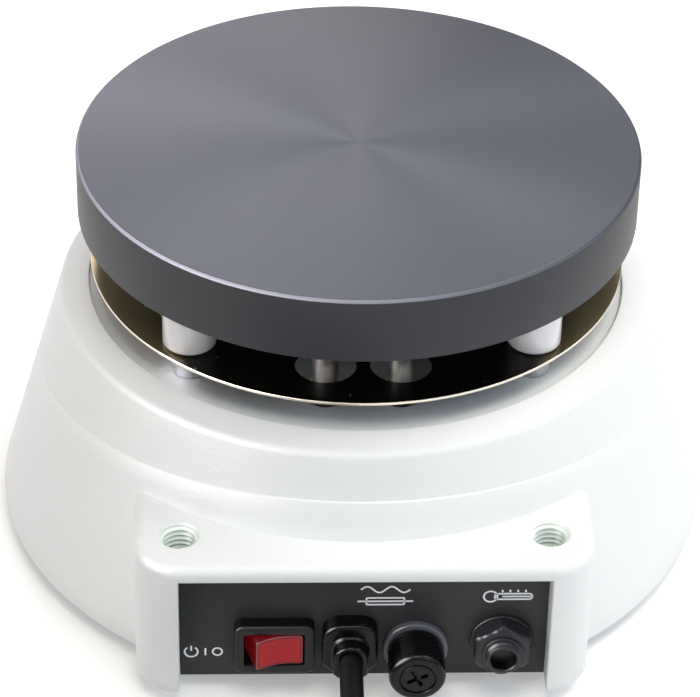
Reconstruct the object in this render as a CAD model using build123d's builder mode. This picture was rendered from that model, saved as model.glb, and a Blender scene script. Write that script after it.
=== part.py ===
from build123d import *
import math
import os

os.makedirs("parts", exist_ok=True)

# Magnetic stirrer with a round hot plate. Millimetres. The origin is on the bench, under the
# stirring axis. +Z is up, +Y points to the rear connector panel, -Y to the control console.

# ---------------------------------------------------------------- driving dimensions
foot_height = 5.6
rim_gap = 0.6  # the base cover sits this far up inside the housing's rim
base_radius = 101.65
shoulder_height = 67.9  # from the housing's rim to its top
shoulder_radius = 75.5
shoulder_edge = 65.5  # height at which the cone ends and the shoulder slopes in
shoulder_width = 7.54145  # from there in to the deck
shoulder_round = 3.0
wall = 2.5
deck_recess = 1.0
deck_rim = 0.5  # width of the shoulder's top edge
deck_thickness = 2.5
ledge_shift = 0.6  # the lower body is set this far to the rear, so that it stands proud there
ledge_height = 39.9  # above the rim, at the stirring axis
ledge_slope = 0.151  # rise of the ledge towards the rear, per millimetre

plate_radius = 77.5
plate_thickness = 19.0
plate_chamfer = 0.8
standoff_height = 15.3
standoff_radius = 7.3
standoff_round = 1.4
shield_radius = 74.4
shield_thickness = 0.8
spacer_height = 8.3
spacer_radius = 5.0
spacer_round = 1.2
bolt_circle = 65.3
bolt_radius = 2.5
bolt_grip = 8.0  # thread length in the plate
bolt_head = 3.0
bolt_head_radius = 4.25
bolt_key_radius = 2.0

pocket_radius = 56.0
pocket_depth = 9.0
element_inner = 22.0
element_inset = 6.0  # from the pocket's wall in to the element
element_thickness = 5.0
fibre_thickness = 2.0
clamp_thickness = 1.0
disc_inset = 2.5  # insulation and clamp, inside the pocket's wall
clamp_screw_inset = 8.0  # inside the element's inner edge
clamp_screw_radius = 2.0
clamp_head_radius = 3.5
clamp_head_height = 2.0
screw_bite = 5.5  # thread in the plate
screw_hole_depth = 6.0
cold_end_width = 2.0
cold_end_length = 6.0
cutout_inset = 20.0  # from the pocket's wall in to the cutout's middle
cutout_radius = 7.5
cutout_height = 7.0
cutout_tab_length = 26.0
cutout_tab_width = 5.0
cutout_tab_drop = 5.0
cutout_tab_thickness = 0.8

tube_radius = 3.55
tube_wall = 0.8
tube_half_spacing = 10.0
tube_offset = 0.9  # the lead tubes stand this far outside the pocket's wall
tube_length = 42.0
shield_tube_hole = 8.25
deck_tube_hole = 6.9
probe_radius = 1.5
probe_rise = 4.0  # above the tube's lower end
probe_collar_rise = 6.0
probe_collar_length = 4.0
tube_headroom = 1.5  # between the tube's upper end and the pocket's roof

box_half_width = 61.0
box_setback = 0.15  # from the base radius in to the rear face
box_height = 42.4  # above the rim
box_corner = 13.0
box_round = 3.0
lip_height = 37.8  # underside of the lip, above the rim
recess_half_width = 49.07
recess_depth = 7.2
jamb_thickness = 3.0
jamb_reach = 4.0  # behind the panel's face
slot_rise = 1.5  # the panel's slot, above the lip
rod_radius = 5.0
rod_depth = 20.0
rod_setback = 14.7  # from the rear face
rod_boss_radius = 9.0
rod_mouth = 0.7
rod_floor = 3.0  # solid under the socket
hollow_round = 5.0
screw_radius = 1.5  # M3
mount_thread_depth = 3.5
post_hole_depth = 11.0

panel_thickness = 1.2
panel_tuck = 1.2  # the panel's top edge, in the slot above the lip
panel_foot = 0.3  # above the rim
panel_screw_head = 1.8
panel_screw_end = 2.5  # past the tab
nut_radius = 3.0
nut_height = 2.4
tab_width = 14.0
tab_depth = 11.0
tab_place = 40.0

console_half_width = 58.0
console_overhang = 1.85  # past the base radius
console_sill = 6.0  # height of the upright sill under the sloping face
console_height = 47.0
console_tilt = 19.0
console_corner = 10.0
fascia_width = 92.0
fascia_height = 34.0
fascia_thickness = 1.2
fascia_recess = 0.6
fascia_corner = 3.0

knob_radius = 11.0
knob_top_radius = 9.0
knob_height = 8.0
knob_place = 32.0
display_width = 34.0
display_height = 12.0
display_up = -3.0
display_corner = 1.5
spindle_radius = 3.0
spindle_reach = 6.0  # behind the console's wall
spindle_hole_gap = 1.5
spindle_collar = 1.3  # wall of the threaded collar round the spindle
fascia_hole_gap = 0.8
knob_gap = 1.0
pot_radius = 8.0
pot_depth = 9.0
lamp_radius = 2.5
lamp_rise = 12.0
lamp_gap = 0.2
lamp_proud = 0.8
lamp_dome = 0.3  # step between the lamp's stem and its cap
lamp_place = knob_place / 3

switch_x = 23.8
switch_rise = 12.0  # centre heights on the panel are measured from the rim
bezel_width = 21.4
bezel_height = 16.2
bezel_proud = 4.1
bezel_corner = 2.4
bezel_round = 0.9
window_depth = 10.0  # behind the panel's face
window_width = 16.1
window_height = 10.8
switch_body_width = 18.8
switch_body_height = 12.8
switch_body_depth = 17.0
rocker_half_length = 6.44
rocker_crest = 6.35
rocker_tilt = 13.0
rocker_pivot_depth = 0.8  # behind the panel's face
rocker_pin_radius = 1.0
rocker_dish = 0.8  # share of the tilt that the crest sinks by
rocker_skirt = 7.5
rocker_skirt_reach = 2.0
rocker_foot = 3.0
rocker_foot_length = 6.4
rocker_side_gap = 0.5
terminal_width = 0.8
terminal_height = 4.8
terminal_pitch = 9.0
terminal_rows = 6.4
terminal_length = 8.0

grip_x = 3.6
grip_rise = 12.4
grip_width = 14.8
grip_height = 16.9
grip_flange = 5.0
grip_collar_radius = 4.6
grip_reach = 10.0
grip_bush_radius = 6.0
grip_bush_length = 9.0
grip_corner = 3.0
grip_round = 1.2
grip_draft = 3.0
bush_draft = 4.0

fuse_x = -14.0
fuse_rise = 10.0
holder_flange_radius = 8.75
holder_flange = 1.9
holder_radius = 6.25
holder_bore = 5.2
holder_length = 38.0
holder_nut_radius = 8.0
holder_nut = 3.0
cap_radius = 7.6
cap_front = 13.6  # the cap's face, in front of the panel
cap_stem_radius = 4.9
cap_stem_length = 12.0
holder_floor = 1.5
cap_round = 1.5
slot_length = 8.0
slot_width = 1.5
slot_depth = 1.6
slot_turn = 20.0
link_seat = 8.0  # of the link inside the cap's stem
link_radius = 3.175
link_length = 31.8

jack_x = -37.0
jack_rise = 12.35
washer_radius = 8.5
washer_thickness = 1.2
nut_across_flats = 14.8
nut_thickness = 4.8
nose_radius = 4.85
nose_reach = 9.0
jack_bore = 3.5
jack_body_radius = 6.5
jack_body_length = 20.0
jack_chamfer = 0.5

shaft_radius = 3.0
bearing_radius = 9.5
bearing_width = 6.0
motor_radius = 28.0
motor_height = 37.0
motor_wall = 1.5
stator_inner = 16.0
stator_height = 18.0
rotor_radius = 15.0
bracket_thickness = 2.0
bracket_length = 112.0
bracket_width = 52.0
bracket_corner = 6.0
bearing_lip = 1.5
bearing_boss = 2.5
screw_head_radius = 2.8
bracket_mount_x = 47.0
bracket_mount_y = 17.0
grommet_height = 4.0
grommet_radius = 4.5
mount_boss_height = 2.0
well_radius = 41.0
carrier_radius = 37.0
carrier_thickness = 8.2
magnet_height = 6.5
carrier_hub_radius = 8.0
magnet_radius = 8.0
magnet_place = 24.0
fan_radius = 34.0
fan_height = 9.0
fan_blades = 9
vent_count = 16
vent_width = 3.0
vent_circle = 22.1
vent_length = 23.8
fan_hub = 9.0
blade_chord = 11.0
blade_sheet = 1.4
blade_pitch = 38.0
blade_root = 8.0

cover_thickness = 1.2
post_radius = 4.5
post_setback = 17.65  # inside the base radius
foot_radius = 10.0
foot_screw_radius = 1.75
base_screw_head = 3.5
base_screw_head_height = 2.0
base_screw_grip = 9.0  # above the base cover
foot_head = 4.5
foot_seat = 3.0
foot_sole_radius = 8.5
foot_round = 0.8

board_width = 84.0
board_grid = 2.0
capacitor_radius = 2.8
capacitor_height = 12.0
board_depth = 44.0
board_thickness = 1.6
board_rise = 9.0
board_setback = 35.5  # behind the console's front
stud_radius = 3.0
stud_inset = 5.0  # from the board's edges
transformer_width = 30.0
winding_width = 24.0
winding_length = 50.0
winding_height = 18.0
transformer_length = 40.0
transformer_height = 30.0
transformer_setback = 35.65  # inside the base radius

cord_radius = 3.15
coil_columns = 4
coil_layers = 2
coil_middle_turns = 12.0  # diameter at the middle of the turns, in cord diameters
coil_centre_y = 178.0
plug_width = 24.0
plug_height = 22.0
plug_length = 32.0
plug_neck = 18.0
plug_corner = 6.0
plug_chamfer = 0.8
neck_wall = 1.6
neck_end_wall = 4.0
blade_length = 17.5
blade_width = 6.35
blade_thickness = 1.5
blade_spacing = 12.7
earth_radius = 2.4
earth_offset = 11.9
tail_length = 46.0  # from the coil's centre to the plug

# ---------------------------------------------------------------- clearances
running_gap = 0.05  # round, radial
seat_gap = 0.1  # pieces that drop into a seat
free_gap = 0.3  # pieces that only pass each other
bolt_gap = 0.2  # round the long bolts, in ceramic and steel
sheet_gap = 0.25  # round the long bolts, in sheet metal and the deck
shield_air = 1.5  # magnet carrier to heat shield

# ---------------------------------------------------------------- derived places
cone_taper = (base_radius - shoulder_radius - shoulder_width) / shoulder_edge
box_rear = base_radius - box_setback
console_front = base_radius + console_overhang
rod_distance = box_rear - rod_setback
board_centre_y = board_setback - console_front
transformer_x = base_radius - transformer_setback
post_circle = base_radius - post_setback
tube_distance = pocket_radius + tube_offset
element_outer = pocket_radius - element_inset
cutout_distance = pocket_radius - cutout_inset
clamp_screw_circle = element_inner - clamp_screw_inset
cover_bottom = foot_height
rim_z = cover_bottom - rim_gap
cover_top = cover_bottom + cover_thickness
shoulder_z = rim_z + shoulder_height
deck_top = shoulder_z - deck_recess
deck_under = deck_top - deck_thickness
shield_under = deck_top + spacer_height
shield_top = shield_under + shield_thickness
plate_under = shield_top + standoff_height
pocket_top = plate_under + pocket_depth
element_under = pocket_top - element_thickness
fibre_under = element_under - fibre_thickness
clamp_under = fibre_under - clamp_thickness
bolt_places = [(bolt_circle, 45 + 90 * i) for i in range(4)]

panel_face = box_rear - recess_depth
panel_back = panel_face - panel_thickness
box_top = rim_z + box_height
lip_under = rim_z + lip_height
lean = math.radians(console_tilt)

carrier_top = shield_under - shield_air
carrier_under = carrier_top - carrier_thickness
grommet_top = deck_under - mount_boss_height
bracket_top = grommet_top - grommet_height
bracket_under = bracket_top - bracket_thickness
motor_bottom = bracket_under - motor_height
fan_top = motor_bottom - 2.0
fan_under = fan_top - fan_height


def body_radius(z, inset=0.0):
    """Outer radius of the conical body at height z, less an inset."""
    return base_radius - cone_taper * (z - rim_z) - inset


def at_bolts():
    return PolarLocations(bolt_circle, 4, start_angle=45)


def at_tubes():
    return Locations((tube_half_spacing, tube_distance), (-tube_half_spacing, tube_distance))


def at_posts():
    return PolarLocations(post_circle, 4, start_angle=45)


def at_studs():
    return Locations(
        *[
            (sx * (board_width / 2 - stud_inset), board_centre_y + sy * (board_depth / 2 - stud_inset))
            for sx in (-1, 1)
            for sy in (-1, 1)
        ]
    )


def at_mounts():
    return GridLocations(2 * bracket_mount_x, 2 * bracket_mount_y, 2, 2)


def on_panel(x, rise, reach=0.0):
    """A plane facing the rear, reach millimetres in front of the panel's face."""
    return Plane(
        origin=(x, panel_face + reach, rim_z + rise), x_dir=(-1, 0, 0), z_dir=(0, 1, 0)
    )


def on_console(x, up, out=0.0):
    """A plane on the console's sloping face, x across and up from the face's middle."""
    middle_z = rim_z + (console_sill + console_height) / 2
    middle_y = -console_front + (console_height - console_sill) / 2 * math.tan(lean)
    place = Plane(
        origin=(0, middle_y, middle_z),
        x_dir=(1, 0, 0),
        z_dir=(0, -math.cos(lean), math.sin(lean)),
    )
    return Plane(
        origin=place.from_local_coords(Vector(x, up, out)),
        x_dir=(1, 0, 0),
        z_dir=place.z_dir,
    )


# ---------------------------------------------------------------- heating plate
with BuildPart() as heating_plate:
    with BuildSketch(Plane.XY.offset(plate_under)):
        Circle(plate_radius)
    extrude(amount=plate_thickness)
    chamfer(heating_plate.edges().group_by(Axis.Z)[-1], plate_chamfer)
    chamfer(heating_plate.edges().group_by(Axis.Z)[0], plate_chamfer / 2)
    # the heater's pocket, and the seats of the two lead tubes that open into it
    with BuildSketch(Plane.XY.offset(plate_under)):
        Circle(pocket_radius)
        with at_tubes():
            Circle(tube_radius + running_gap)
    extrude(amount=pocket_depth, mode=Mode.SUBTRACT)
    # tapped holes for the four long bolts and the three clamp screws
    with BuildSketch(Plane.XY.offset(plate_under)):
        with at_bolts():
            Circle(bolt_radius + running_gap)
    extrude(amount=bolt_grip + 1, mode=Mode.SUBTRACT)
    with BuildSketch(Plane.XY.offset(pocket_top)):
        with PolarLocations(clamp_screw_circle, 3, start_angle=90):
            Circle(clamp_screw_radius + running_gap)
        with Locations((-tube_half_spacing, tube_distance)):
            Circle(probe_radius + running_gap)
    extrude(amount=screw_hole_depth, mode=Mode.SUBTRACT)
heating_plate.part.label = "heating_plate"
export_step(heating_plate.part, "parts/heating_plate.step")

with BuildPart() as heating_element:
    with BuildSketch(Plane.XY.offset(element_under)):
        Circle(element_outer)
        Circle(element_inner, mode=Mode.SUBTRACT)
    extrude(amount=element_thickness)
    # two cold ends reach towards the lead tube on the +X side
    with BuildSketch(Plane.XY.offset(element_under + 1)):
        with Locations(
            (tube_half_spacing - cold_end_width, element_outer),
            (tube_half_spacing + cold_end_width, element_outer),
        ):
            Rectangle(cold_end_width, cold_end_length)
    extrude(amount=cold_end_width)
heating_element.part.label = "heating_element"
export_step(heating_element.part, "parts/heating_element.step")


def disc_under_heater(bottom):
    """Outline of a disc under the heater, clear of the lead tubes, with holes for the clamp screws."""
    with BuildSketch(Plane.XY.offset(bottom), mode=Mode.PRIVATE) as disc:
        Circle(pocket_radius - disc_inset)
        with at_tubes():
            Circle(tube_radius + free_gap, mode=Mode.SUBTRACT)
        with PolarLocations(clamp_screw_circle, 3, start_angle=90):
            Circle(clamp_screw_radius + seat_gap, mode=Mode.SUBTRACT)
    return disc.sketch


with BuildPart() as element_insulation:
    extrude(disc_under_heater(fibre_under), amount=fibre_thickness)
element_insulation.part.label = "element_insulation"
export_step(element_insulation.part, "parts/element_insulation.step")

with BuildPart() as element_clamp:
    extrude(disc_under_heater(clamp_under), amount=clamp_thickness)
element_clamp.part.label = "element_clamp"
export_step(element_clamp.part, "parts/element_clamp.step")

with BuildPart() as clamp_screws:
    with BuildSketch(Plane.XY.offset(clamp_under - clamp_head_height)):
        with PolarLocations(clamp_screw_circle, 3, start_angle=90):
            Circle(clamp_head_radius)
    extrude(amount=clamp_head_height)
    with BuildSketch(Plane.XY.offset(clamp_under)):
        with PolarLocations(clamp_screw_circle, 3, start_angle=90):
            Circle(clamp_screw_radius)
    extrude(amount=pocket_top + screw_bite - clamp_under)
clamp_screws.part.label = "clamp_screws"
export_step(clamp_screws.part, "parts/clamp_screws.step")

with BuildPart() as thermal_cutout:
    with BuildSketch(Plane.XY.offset(clamp_under - cutout_height)):
        with Locations((0, -cutout_distance)):
            Circle(cutout_radius)
    extrude(amount=cutout_height)
    with BuildSketch(Plane.XY.offset(clamp_under - cutout_tab_drop)):
        with Locations((0, -cutout_distance)):
            Rectangle(cutout_tab_length, cutout_tab_width)
    extrude(amount=cutout_tab_thickness)
thermal_cutout.part.label = "thermal_cutout"
export_step(thermal_cutout.part, "parts/thermal_cutout.step")

# ---------------------------------------------------------------- lead tubes and probe
tube_top = pocket_top - tube_headroom
tube_bottom = tube_top - tube_length
with BuildPart() as lead_tubes:
    with BuildSketch(Plane.XY.offset(tube_bottom)):
        with at_tubes():
            Circle(tube_radius)
            Circle(tube_radius - tube_wall, mode=Mode.SUBTRACT)
    extrude(amount=tube_length)
lead_tubes.part.label = "lead_tubes"
export_step(lead_tubes.part, "parts/lead_tubes.step")

with BuildPart() as plate_sensor:
    with BuildSketch(Plane.XY.offset(tube_bottom + probe_rise)):
        with Locations((-tube_half_spacing, tube_distance)):
            Circle(probe_radius)
    extrude(amount=pocket_top + screw_bite - tube_bottom - probe_rise)
    # a crimped collar centres the probe in its tube
    with BuildSketch(Plane.XY.offset(tube_bottom + probe_collar_rise)):
        with Locations((-tube_half_spacing, tube_distance)):
            Circle(tube_radius - tube_wall - running_gap)
    extrude(amount=probe_collar_length)
plate_sensor.part.label = "plate_sensor"
export_step(plate_sensor.part, "parts/plate_sensor.step")

# ---------------------------------------------------------------- standoffs, spacers, bolts
for number, (reach, angle) in enumerate(bolt_places, start=1):
    x = reach * math.cos(math.radians(angle))
    y = reach * math.sin(math.radians(angle))
    with BuildPart() as ceramic_standoff:
        with BuildSketch(Plane.XY.offset(shield_top)):
            with Locations((x, y)):
                Circle(standoff_radius)
        extrude(amount=standoff_height)
        fillet(ceramic_standoff.edges().filter_by(GeomType.CIRCLE), standoff_round)
        with BuildSketch(Plane.XY.offset(shield_top)):
            with Locations((x, y)):
                Circle(bolt_radius + bolt_gap)
        extrude(amount=standoff_height, mode=Mode.SUBTRACT)
    ceramic_standoff.part.label = f"ceramic_standoff_{number}"
    export_step(ceramic_standoff.part, f"parts/ceramic_standoff_{number}.step")

with BuildPart() as lower_spacers:
    with BuildSketch(Plane.XY.offset(deck_top)):
        with at_bolts():
            Circle(spacer_radius)
    extrude(amount=spacer_height)
    fillet(lower_spacers.edges().group_by(Axis.Z)[0], spacer_round)
    with BuildSketch(Plane.XY.offset(deck_top)):
        with at_bolts():
            Circle(bolt_radius + bolt_gap)
    extrude(amount=spacer_height, mode=Mode.SUBTRACT)
lower_spacers.part.label = "lower_spacers"
export_step(lower_spacers.part, "parts/lower_spacers.step")

with BuildPart() as plate_bolts:
    with BuildSketch(Plane.XY.offset(deck_under - bolt_head)):
        with at_bolts():
            Circle(bolt_head_radius)
            RegularPolygon(bolt_key_radius, 6, mode=Mode.SUBTRACT)
    extrude(amount=bolt_head - 1)
    with BuildSketch(Plane.XY.offset(deck_under - 1)):
        with at_bolts():
            Circle(bolt_head_radius)
    extrude(amount=1)
    with BuildSketch(Plane.XY.offset(deck_under)):
        with at_bolts():
            Circle(bolt_radius)
    extrude(amount=plate_under + bolt_grip - deck_under)
plate_bolts.part.label = "plate_bolts"
export_step(plate_bolts.part, "parts/plate_bolts.step")

with BuildPart() as heat_shield:
    with BuildSketch(Plane.XY.offset(shield_under)):
        Circle(shield_radius)
        with at_bolts():
            Circle(bolt_radius + sheet_gap, mode=Mode.SUBTRACT)
        with at_tubes():
            Circle(shield_tube_hole, mode=Mode.SUBTRACT)
    extrude(amount=shield_thickness)
heat_shield.part.label = "heat_shield"
export_step(heat_shield.part, "parts/heat_shield.step")

# ---------------------------------------------------------------- housing
# The rear box and the console are rounded blocks that grow out of the cone.
with BuildPart() as box_block:
    with BuildSketch(Plane.XY.offset(rim_z)) as box_plan:
        with Locations((0, box_rear / 2)):
            Rectangle(2 * box_half_width, box_rear)
        fillet(box_plan.vertices().group_by(Axis.Y)[-1], box_corner)
    extrude(amount=box_height)
    fillet(box_block.edges().group_by(Axis.Z)[-1].group_by(Axis.Y)[1:], box_round)

console_top_y = -console_front + (console_height - console_sill) * math.tan(lean)
console_back_y = -45.0


def console_profile(inset):
    """Side view of the console on the YZ plane, smaller by an inset for the hollow."""
    front_y = -console_front + inset
    top = rim_z + console_height - inset
    face_y = console_top_y + inset / math.cos(lean) + inset * math.tan(lean)
    sill = rim_z + console_sill + (front_y + console_front) / math.tan(lean)
    sill = sill - inset / math.sin(lean)
    with BuildSketch(Plane.YZ, mode=Mode.PRIVATE) as profile:
        with BuildLine():
            Polyline(
                (console_back_y, rim_z - (1 if inset else 0)),
                (front_y, rim_z - (1 if inset else 0)),
                (front_y, sill),
                (face_y - inset * 2 * math.tan(lean), top),
                (console_back_y, top),
                close=True,
            )
        make_face()
    return profile.sketch


def uprights(block, half_width):
    """The steep edges at both sides of the console's front."""
    return [
        e
        for e in block.edges()
        if abs(abs(e.center().X) - half_width) < 0.01
        and e.center().Y < console_top_y
        and abs(e.tangent_at(0.5).Z) > 0.3
    ]


with BuildPart() as console_block:
    extrude(console_profile(0), amount=console_half_width, both=True)
    fillet(uprights(console_block, console_half_width), console_corner)
    rim = console_block.edges().group_by(Axis.Z)[-1]
    fillet([e for e in rim if e.center().Y < console_back_y - 1], box_round)

with BuildPart() as console_inside:
    extrude(console_profile(wall), amount=console_half_width - wall, both=True)
    fillet(uprights(console_inside, console_half_width - wall), console_corner - wall)

# Everything that is hollow inside the housing, less the posts and bosses that stay solid.
with BuildPart() as hollow:
    with BuildSketch(Plane.XZ) as hollow_half:
        with BuildLine():
            Polyline(
                (0, rim_z - 1),
                (body_radius(rim_z, wall + ledge_shift), rim_z - 1),
                (body_radius(rim_z, wall + ledge_shift), rim_z),
                (body_radius(deck_under, wall + ledge_shift), deck_under),
                (0, deck_under),
                close=True,
            )
        make_face()
        fillet(hollow_half.vertices().group_by(Axis.Y)[-1].sort_by(Axis.X)[-1:], hollow_round)
    revolve(axis=Axis.Z)
    with BuildSketch(Plane.XY.offset(rim_z - 1)) as box_inside:
        with Locations((0, (box_rear - wall) / 2)):
            Rectangle(2 * (box_half_width - wall), box_rear - wall)
        fillet(box_inside.vertices().group_by(Axis.Y)[-1], box_corner - wall)
        # the lip and the recess's side walls stay solid
        with Locations((0, panel_face + box_rear / 2)):
            Rectangle(2 * (recess_half_width + jamb_thickness), box_rear, mode=Mode.SUBTRACT)
        for side in (1, -1):
            with Locations((side * (recess_half_width + jamb_thickness / 2), panel_face)):
                Rectangle(jamb_thickness, 2 * jamb_reach, mode=Mode.SUBTRACT)
    extrude(amount=box_height - jamb_thickness + 1)
    add(console_inside.part)
    # rod bosses hang from the box's top, flattened where the panel passes
    with BuildSketch(Plane.XY.offset(box_top)):
        with Locations((recess_half_width, rod_distance), (-recess_half_width, rod_distance)):
            Circle(rod_boss_radius)
        with Locations((0, panel_back / 2)):
            Rectangle(4 * box_half_width, panel_back, mode=Mode.INTERSECT)
    extrude(amount=-(rod_depth + rod_floor), mode=Mode.SUBTRACT)
    # posts for the base screws
    with BuildSketch(Plane.XY.offset(cover_top)):
        with at_posts():
            Circle(post_radius)
    extrude(amount=deck_under - cover_top + 1, mode=Mode.SUBTRACT)
    # bosses under the deck for the motor bracket
    with BuildSketch(Plane.XY.offset(grommet_top)):
        with at_mounts():
            Circle(grommet_radius)
    extrude(amount=mount_boss_height + 1, mode=Mode.SUBTRACT)

with BuildPart() as housing:
    # the lower body is cut off along the sloping ledge
    with BuildSketch(Plane.XZ.offset(-ledge_shift)):
        with BuildLine():
            Polyline(
                (0, rim_z),
                (body_radius(rim_z), rim_z),
                (body_radius(shoulder_z), shoulder_z),
                (0, shoulder_z),
                close=True,
            )
        make_face()
    revolve(axis=Axis((0, ledge_shift, 0), (0, 0, 1)))
    split(
        bisect_by=Plane(origin=(0, 0, rim_z + ledge_height), z_dir=(0, -ledge_slope, 1)),
        keep=Keep.BOTTOM,
    )
    # the upper body ends in a shoulder that slopes in to the deck
    with BuildSketch(Plane.XZ) as upper_half:
        with BuildLine():
            Polyline(
                (0, rim_z),
                (body_radius(rim_z), rim_z),
                (body_radius(rim_z + shoulder_edge), rim_z + shoulder_edge),
                (shoulder_radius, shoulder_z),
                (0, shoulder_z),
                close=True,
            )
        make_face()
        fillet(upper_half.vertices().sort_by(Axis.X)[-2:-1], shoulder_round)
    revolve(axis=Axis.Z)
    add(box_block.part)
    add(console_block.part)
    add(hollow.part, mode=Mode.SUBTRACT)
    # the deck is sunk inside the shoulder
    with BuildSketch(Plane.XY.offset(deck_top)):
        Circle(shoulder_radius - deck_rim)
    extrude(amount=deck_recess + 1, mode=Mode.SUBTRACT)
    # well for the magnet carrier, and holes for the bolts and lead tubes
    with BuildSketch(Plane.XY.offset(deck_under - 1)):
        Circle(well_radius)
        with at_bolts():
            Circle(bolt_radius + sheet_gap)
        with at_tubes():
            Circle(deck_tube_hole)
    extrude(amount=deck_thickness + 2, mode=Mode.SUBTRACT)
    # tapped holes of the bracket's bosses
    with BuildSketch(Plane.XY.offset(grommet_top)):
        with at_mounts():
            Circle(screw_radius)
    extrude(amount=mount_thread_depth, mode=Mode.SUBTRACT)
    # connector recess, open to the rear and below
    with BuildSketch(Plane.XZ.offset(-panel_face)):
        with Locations((0, (lip_under + rim_z - 2) / 2)):
            Rectangle(2 * recess_half_width, lip_under - rim_z + 2)
    extrude(amount=-(recess_depth + 1), mode=Mode.SUBTRACT)
    # the panel's slot behind the lip
    with BuildSketch(Plane.XZ.offset(-panel_back + free_gap)):
        with Locations((0, (lip_under + slot_rise) / 2)):
            Rectangle(2 * recess_half_width, lip_under + slot_rise)
    extrude(amount=-(panel_thickness + free_gap), mode=Mode.SUBTRACT)
    # sockets for a 10 mm support rod
    with Locations((recess_half_width, rod_distance, box_top), (-recess_half_width, rod_distance, box_top)):
        CounterSinkHole(rod_radius, rod_radius + rod_mouth, rod_depth, counter_sink_angle=90)
    # holes in the posts for the base screws
    with BuildSketch(Plane.XY.offset(cover_top)):
        with at_posts():
            Circle(foot_screw_radius + running_gap)
    extrude(amount=post_hole_depth, mode=Mode.SUBTRACT)
    # seat of the fascia, and holes for the spindles and lamps
    with BuildSketch(on_console(0, 0, 1)):
        RectangleRounded(fascia_width, fascia_height, fascia_corner)
    extrude(amount=-(1 + fascia_recess), mode=Mode.SUBTRACT)
    for side in (1, -1):
        with BuildSketch(on_console(side * knob_place, 0, 1)):
            Circle(spindle_radius + spindle_hole_gap)
        extrude(amount=-(1 + wall + fascia_recess), mode=Mode.SUBTRACT)
        with BuildSketch(on_console(side * lamp_place, lamp_rise, 1)):
            Circle(lamp_radius + lamp_gap)
        extrude(amount=-(1 + wall + fascia_recess), mode=Mode.SUBTRACT)
housing.part.label = "housing"
export_step(housing.part, "parts/housing.step")
print("housing solids", len(housing.part.solids()), "volume", round(housing.part.volume))

# ---------------------------------------------------------------- base
with BuildSketch(Plane.XY.offset(cover_bottom)) as cover_tongue:
    with Locations((0, -(console_front - wall - free_gap) / 2)):
        Rectangle(2 * (console_half_width - wall - free_gap), console_front - wall - free_gap)
    fillet(cover_tongue.vertices().group_by(Axis.Y)[0], console_corner - wall - free_gap)

with BuildPart() as base_cover:
    cavity_radius = body_radius(cover_top, wall + ledge_shift + free_gap)
    with BuildSketch(Plane.XY.offset(cover_bottom)):
        with Locations((0, (panel_face - jamb_reach - free_gap) / 2)):
            Rectangle(2 * (box_half_width - wall - free_gap), panel_face - jamb_reach - free_gap)
        with Locations((0, (panel_back - free_gap) / 2)):
            Rectangle(2 * (recess_half_width - free_gap), panel_back - free_gap)
        Circle(cavity_radius)
        with Locations((0, panel_face - jamb_reach - free_gap + base_radius / 2)):
            Rectangle(4 * box_half_width, base_radius, mode=Mode.SUBTRACT)
        with Locations((0, (panel_back - free_gap + rod_distance) / 2)):
            Rectangle(2 * (recess_half_width - free_gap), panel_back - free_gap - rod_distance)
    extrude(amount=cover_thickness)
    extrude(cover_tongue.sketch, amount=cover_thickness)
    with BuildSketch(Plane.XY.offset(cover_bottom)):
        with at_posts():
            Circle(foot_screw_radius + seat_gap)
        with GridLocations(2 * tab_place, 1, 2, 1):
            with Locations((0, panel_back - tab_depth / 2)):
                Circle(screw_radius + seat_gap)
        # air slots under the fan
        with PolarLocations(vent_circle, vent_count):
            SlotOverall(vent_length, vent_width)
    extrude(amount=cover_thickness, mode=Mode.SUBTRACT)
    # studs that carry the control board
    with BuildSketch(Plane.XY.offset(cover_top)):
        with at_studs():
            Circle(stud_radius)
    extrude(amount=board_rise)
base_cover.part.label = "base_cover"
export_step(base_cover.part, "parts/base_cover.step")

for number in range(4):
    angle = math.radians(45 + 90 * number)
    x = post_circle * math.cos(angle)
    y = post_circle * math.sin(angle)
    with BuildPart() as foot:
        with Locations((x, y, foot_height / 2)):
            Cone(foot_sole_radius, foot_radius, foot_height)
        fillet(foot.edges().group_by(Axis.Z)[0], foot_round)
        with BuildSketch(Plane.XY):
            with Locations((x, y)):
                Circle(foot_head)
        extrude(amount=foot_seat, mode=Mode.SUBTRACT)
        with BuildSketch(Plane.XY):
            with Locations((x, y)):
                Circle(foot_screw_radius + seat_gap)
        extrude(amount=foot_height, mode=Mode.SUBTRACT)
    foot.part.label = f"foot_{number + 1}"
    export_step(foot.part, f"parts/foot_{number + 1}.step")

with BuildPart() as base_screws:
    with BuildSketch(Plane.XY.offset(foot_seat - base_screw_head_height)):
        with at_posts():
            Circle(base_screw_head)
    extrude(amount=base_screw_head_height)
    with BuildSketch(Plane.XY.offset(foot_seat)):
        with at_posts():
            Circle(foot_screw_radius)
    extrude(amount=cover_top + base_screw_grip - foot_seat)
base_screws.part.label = "base_screws"
export_step(base_screws.part, "parts/base_screws.step")

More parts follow.
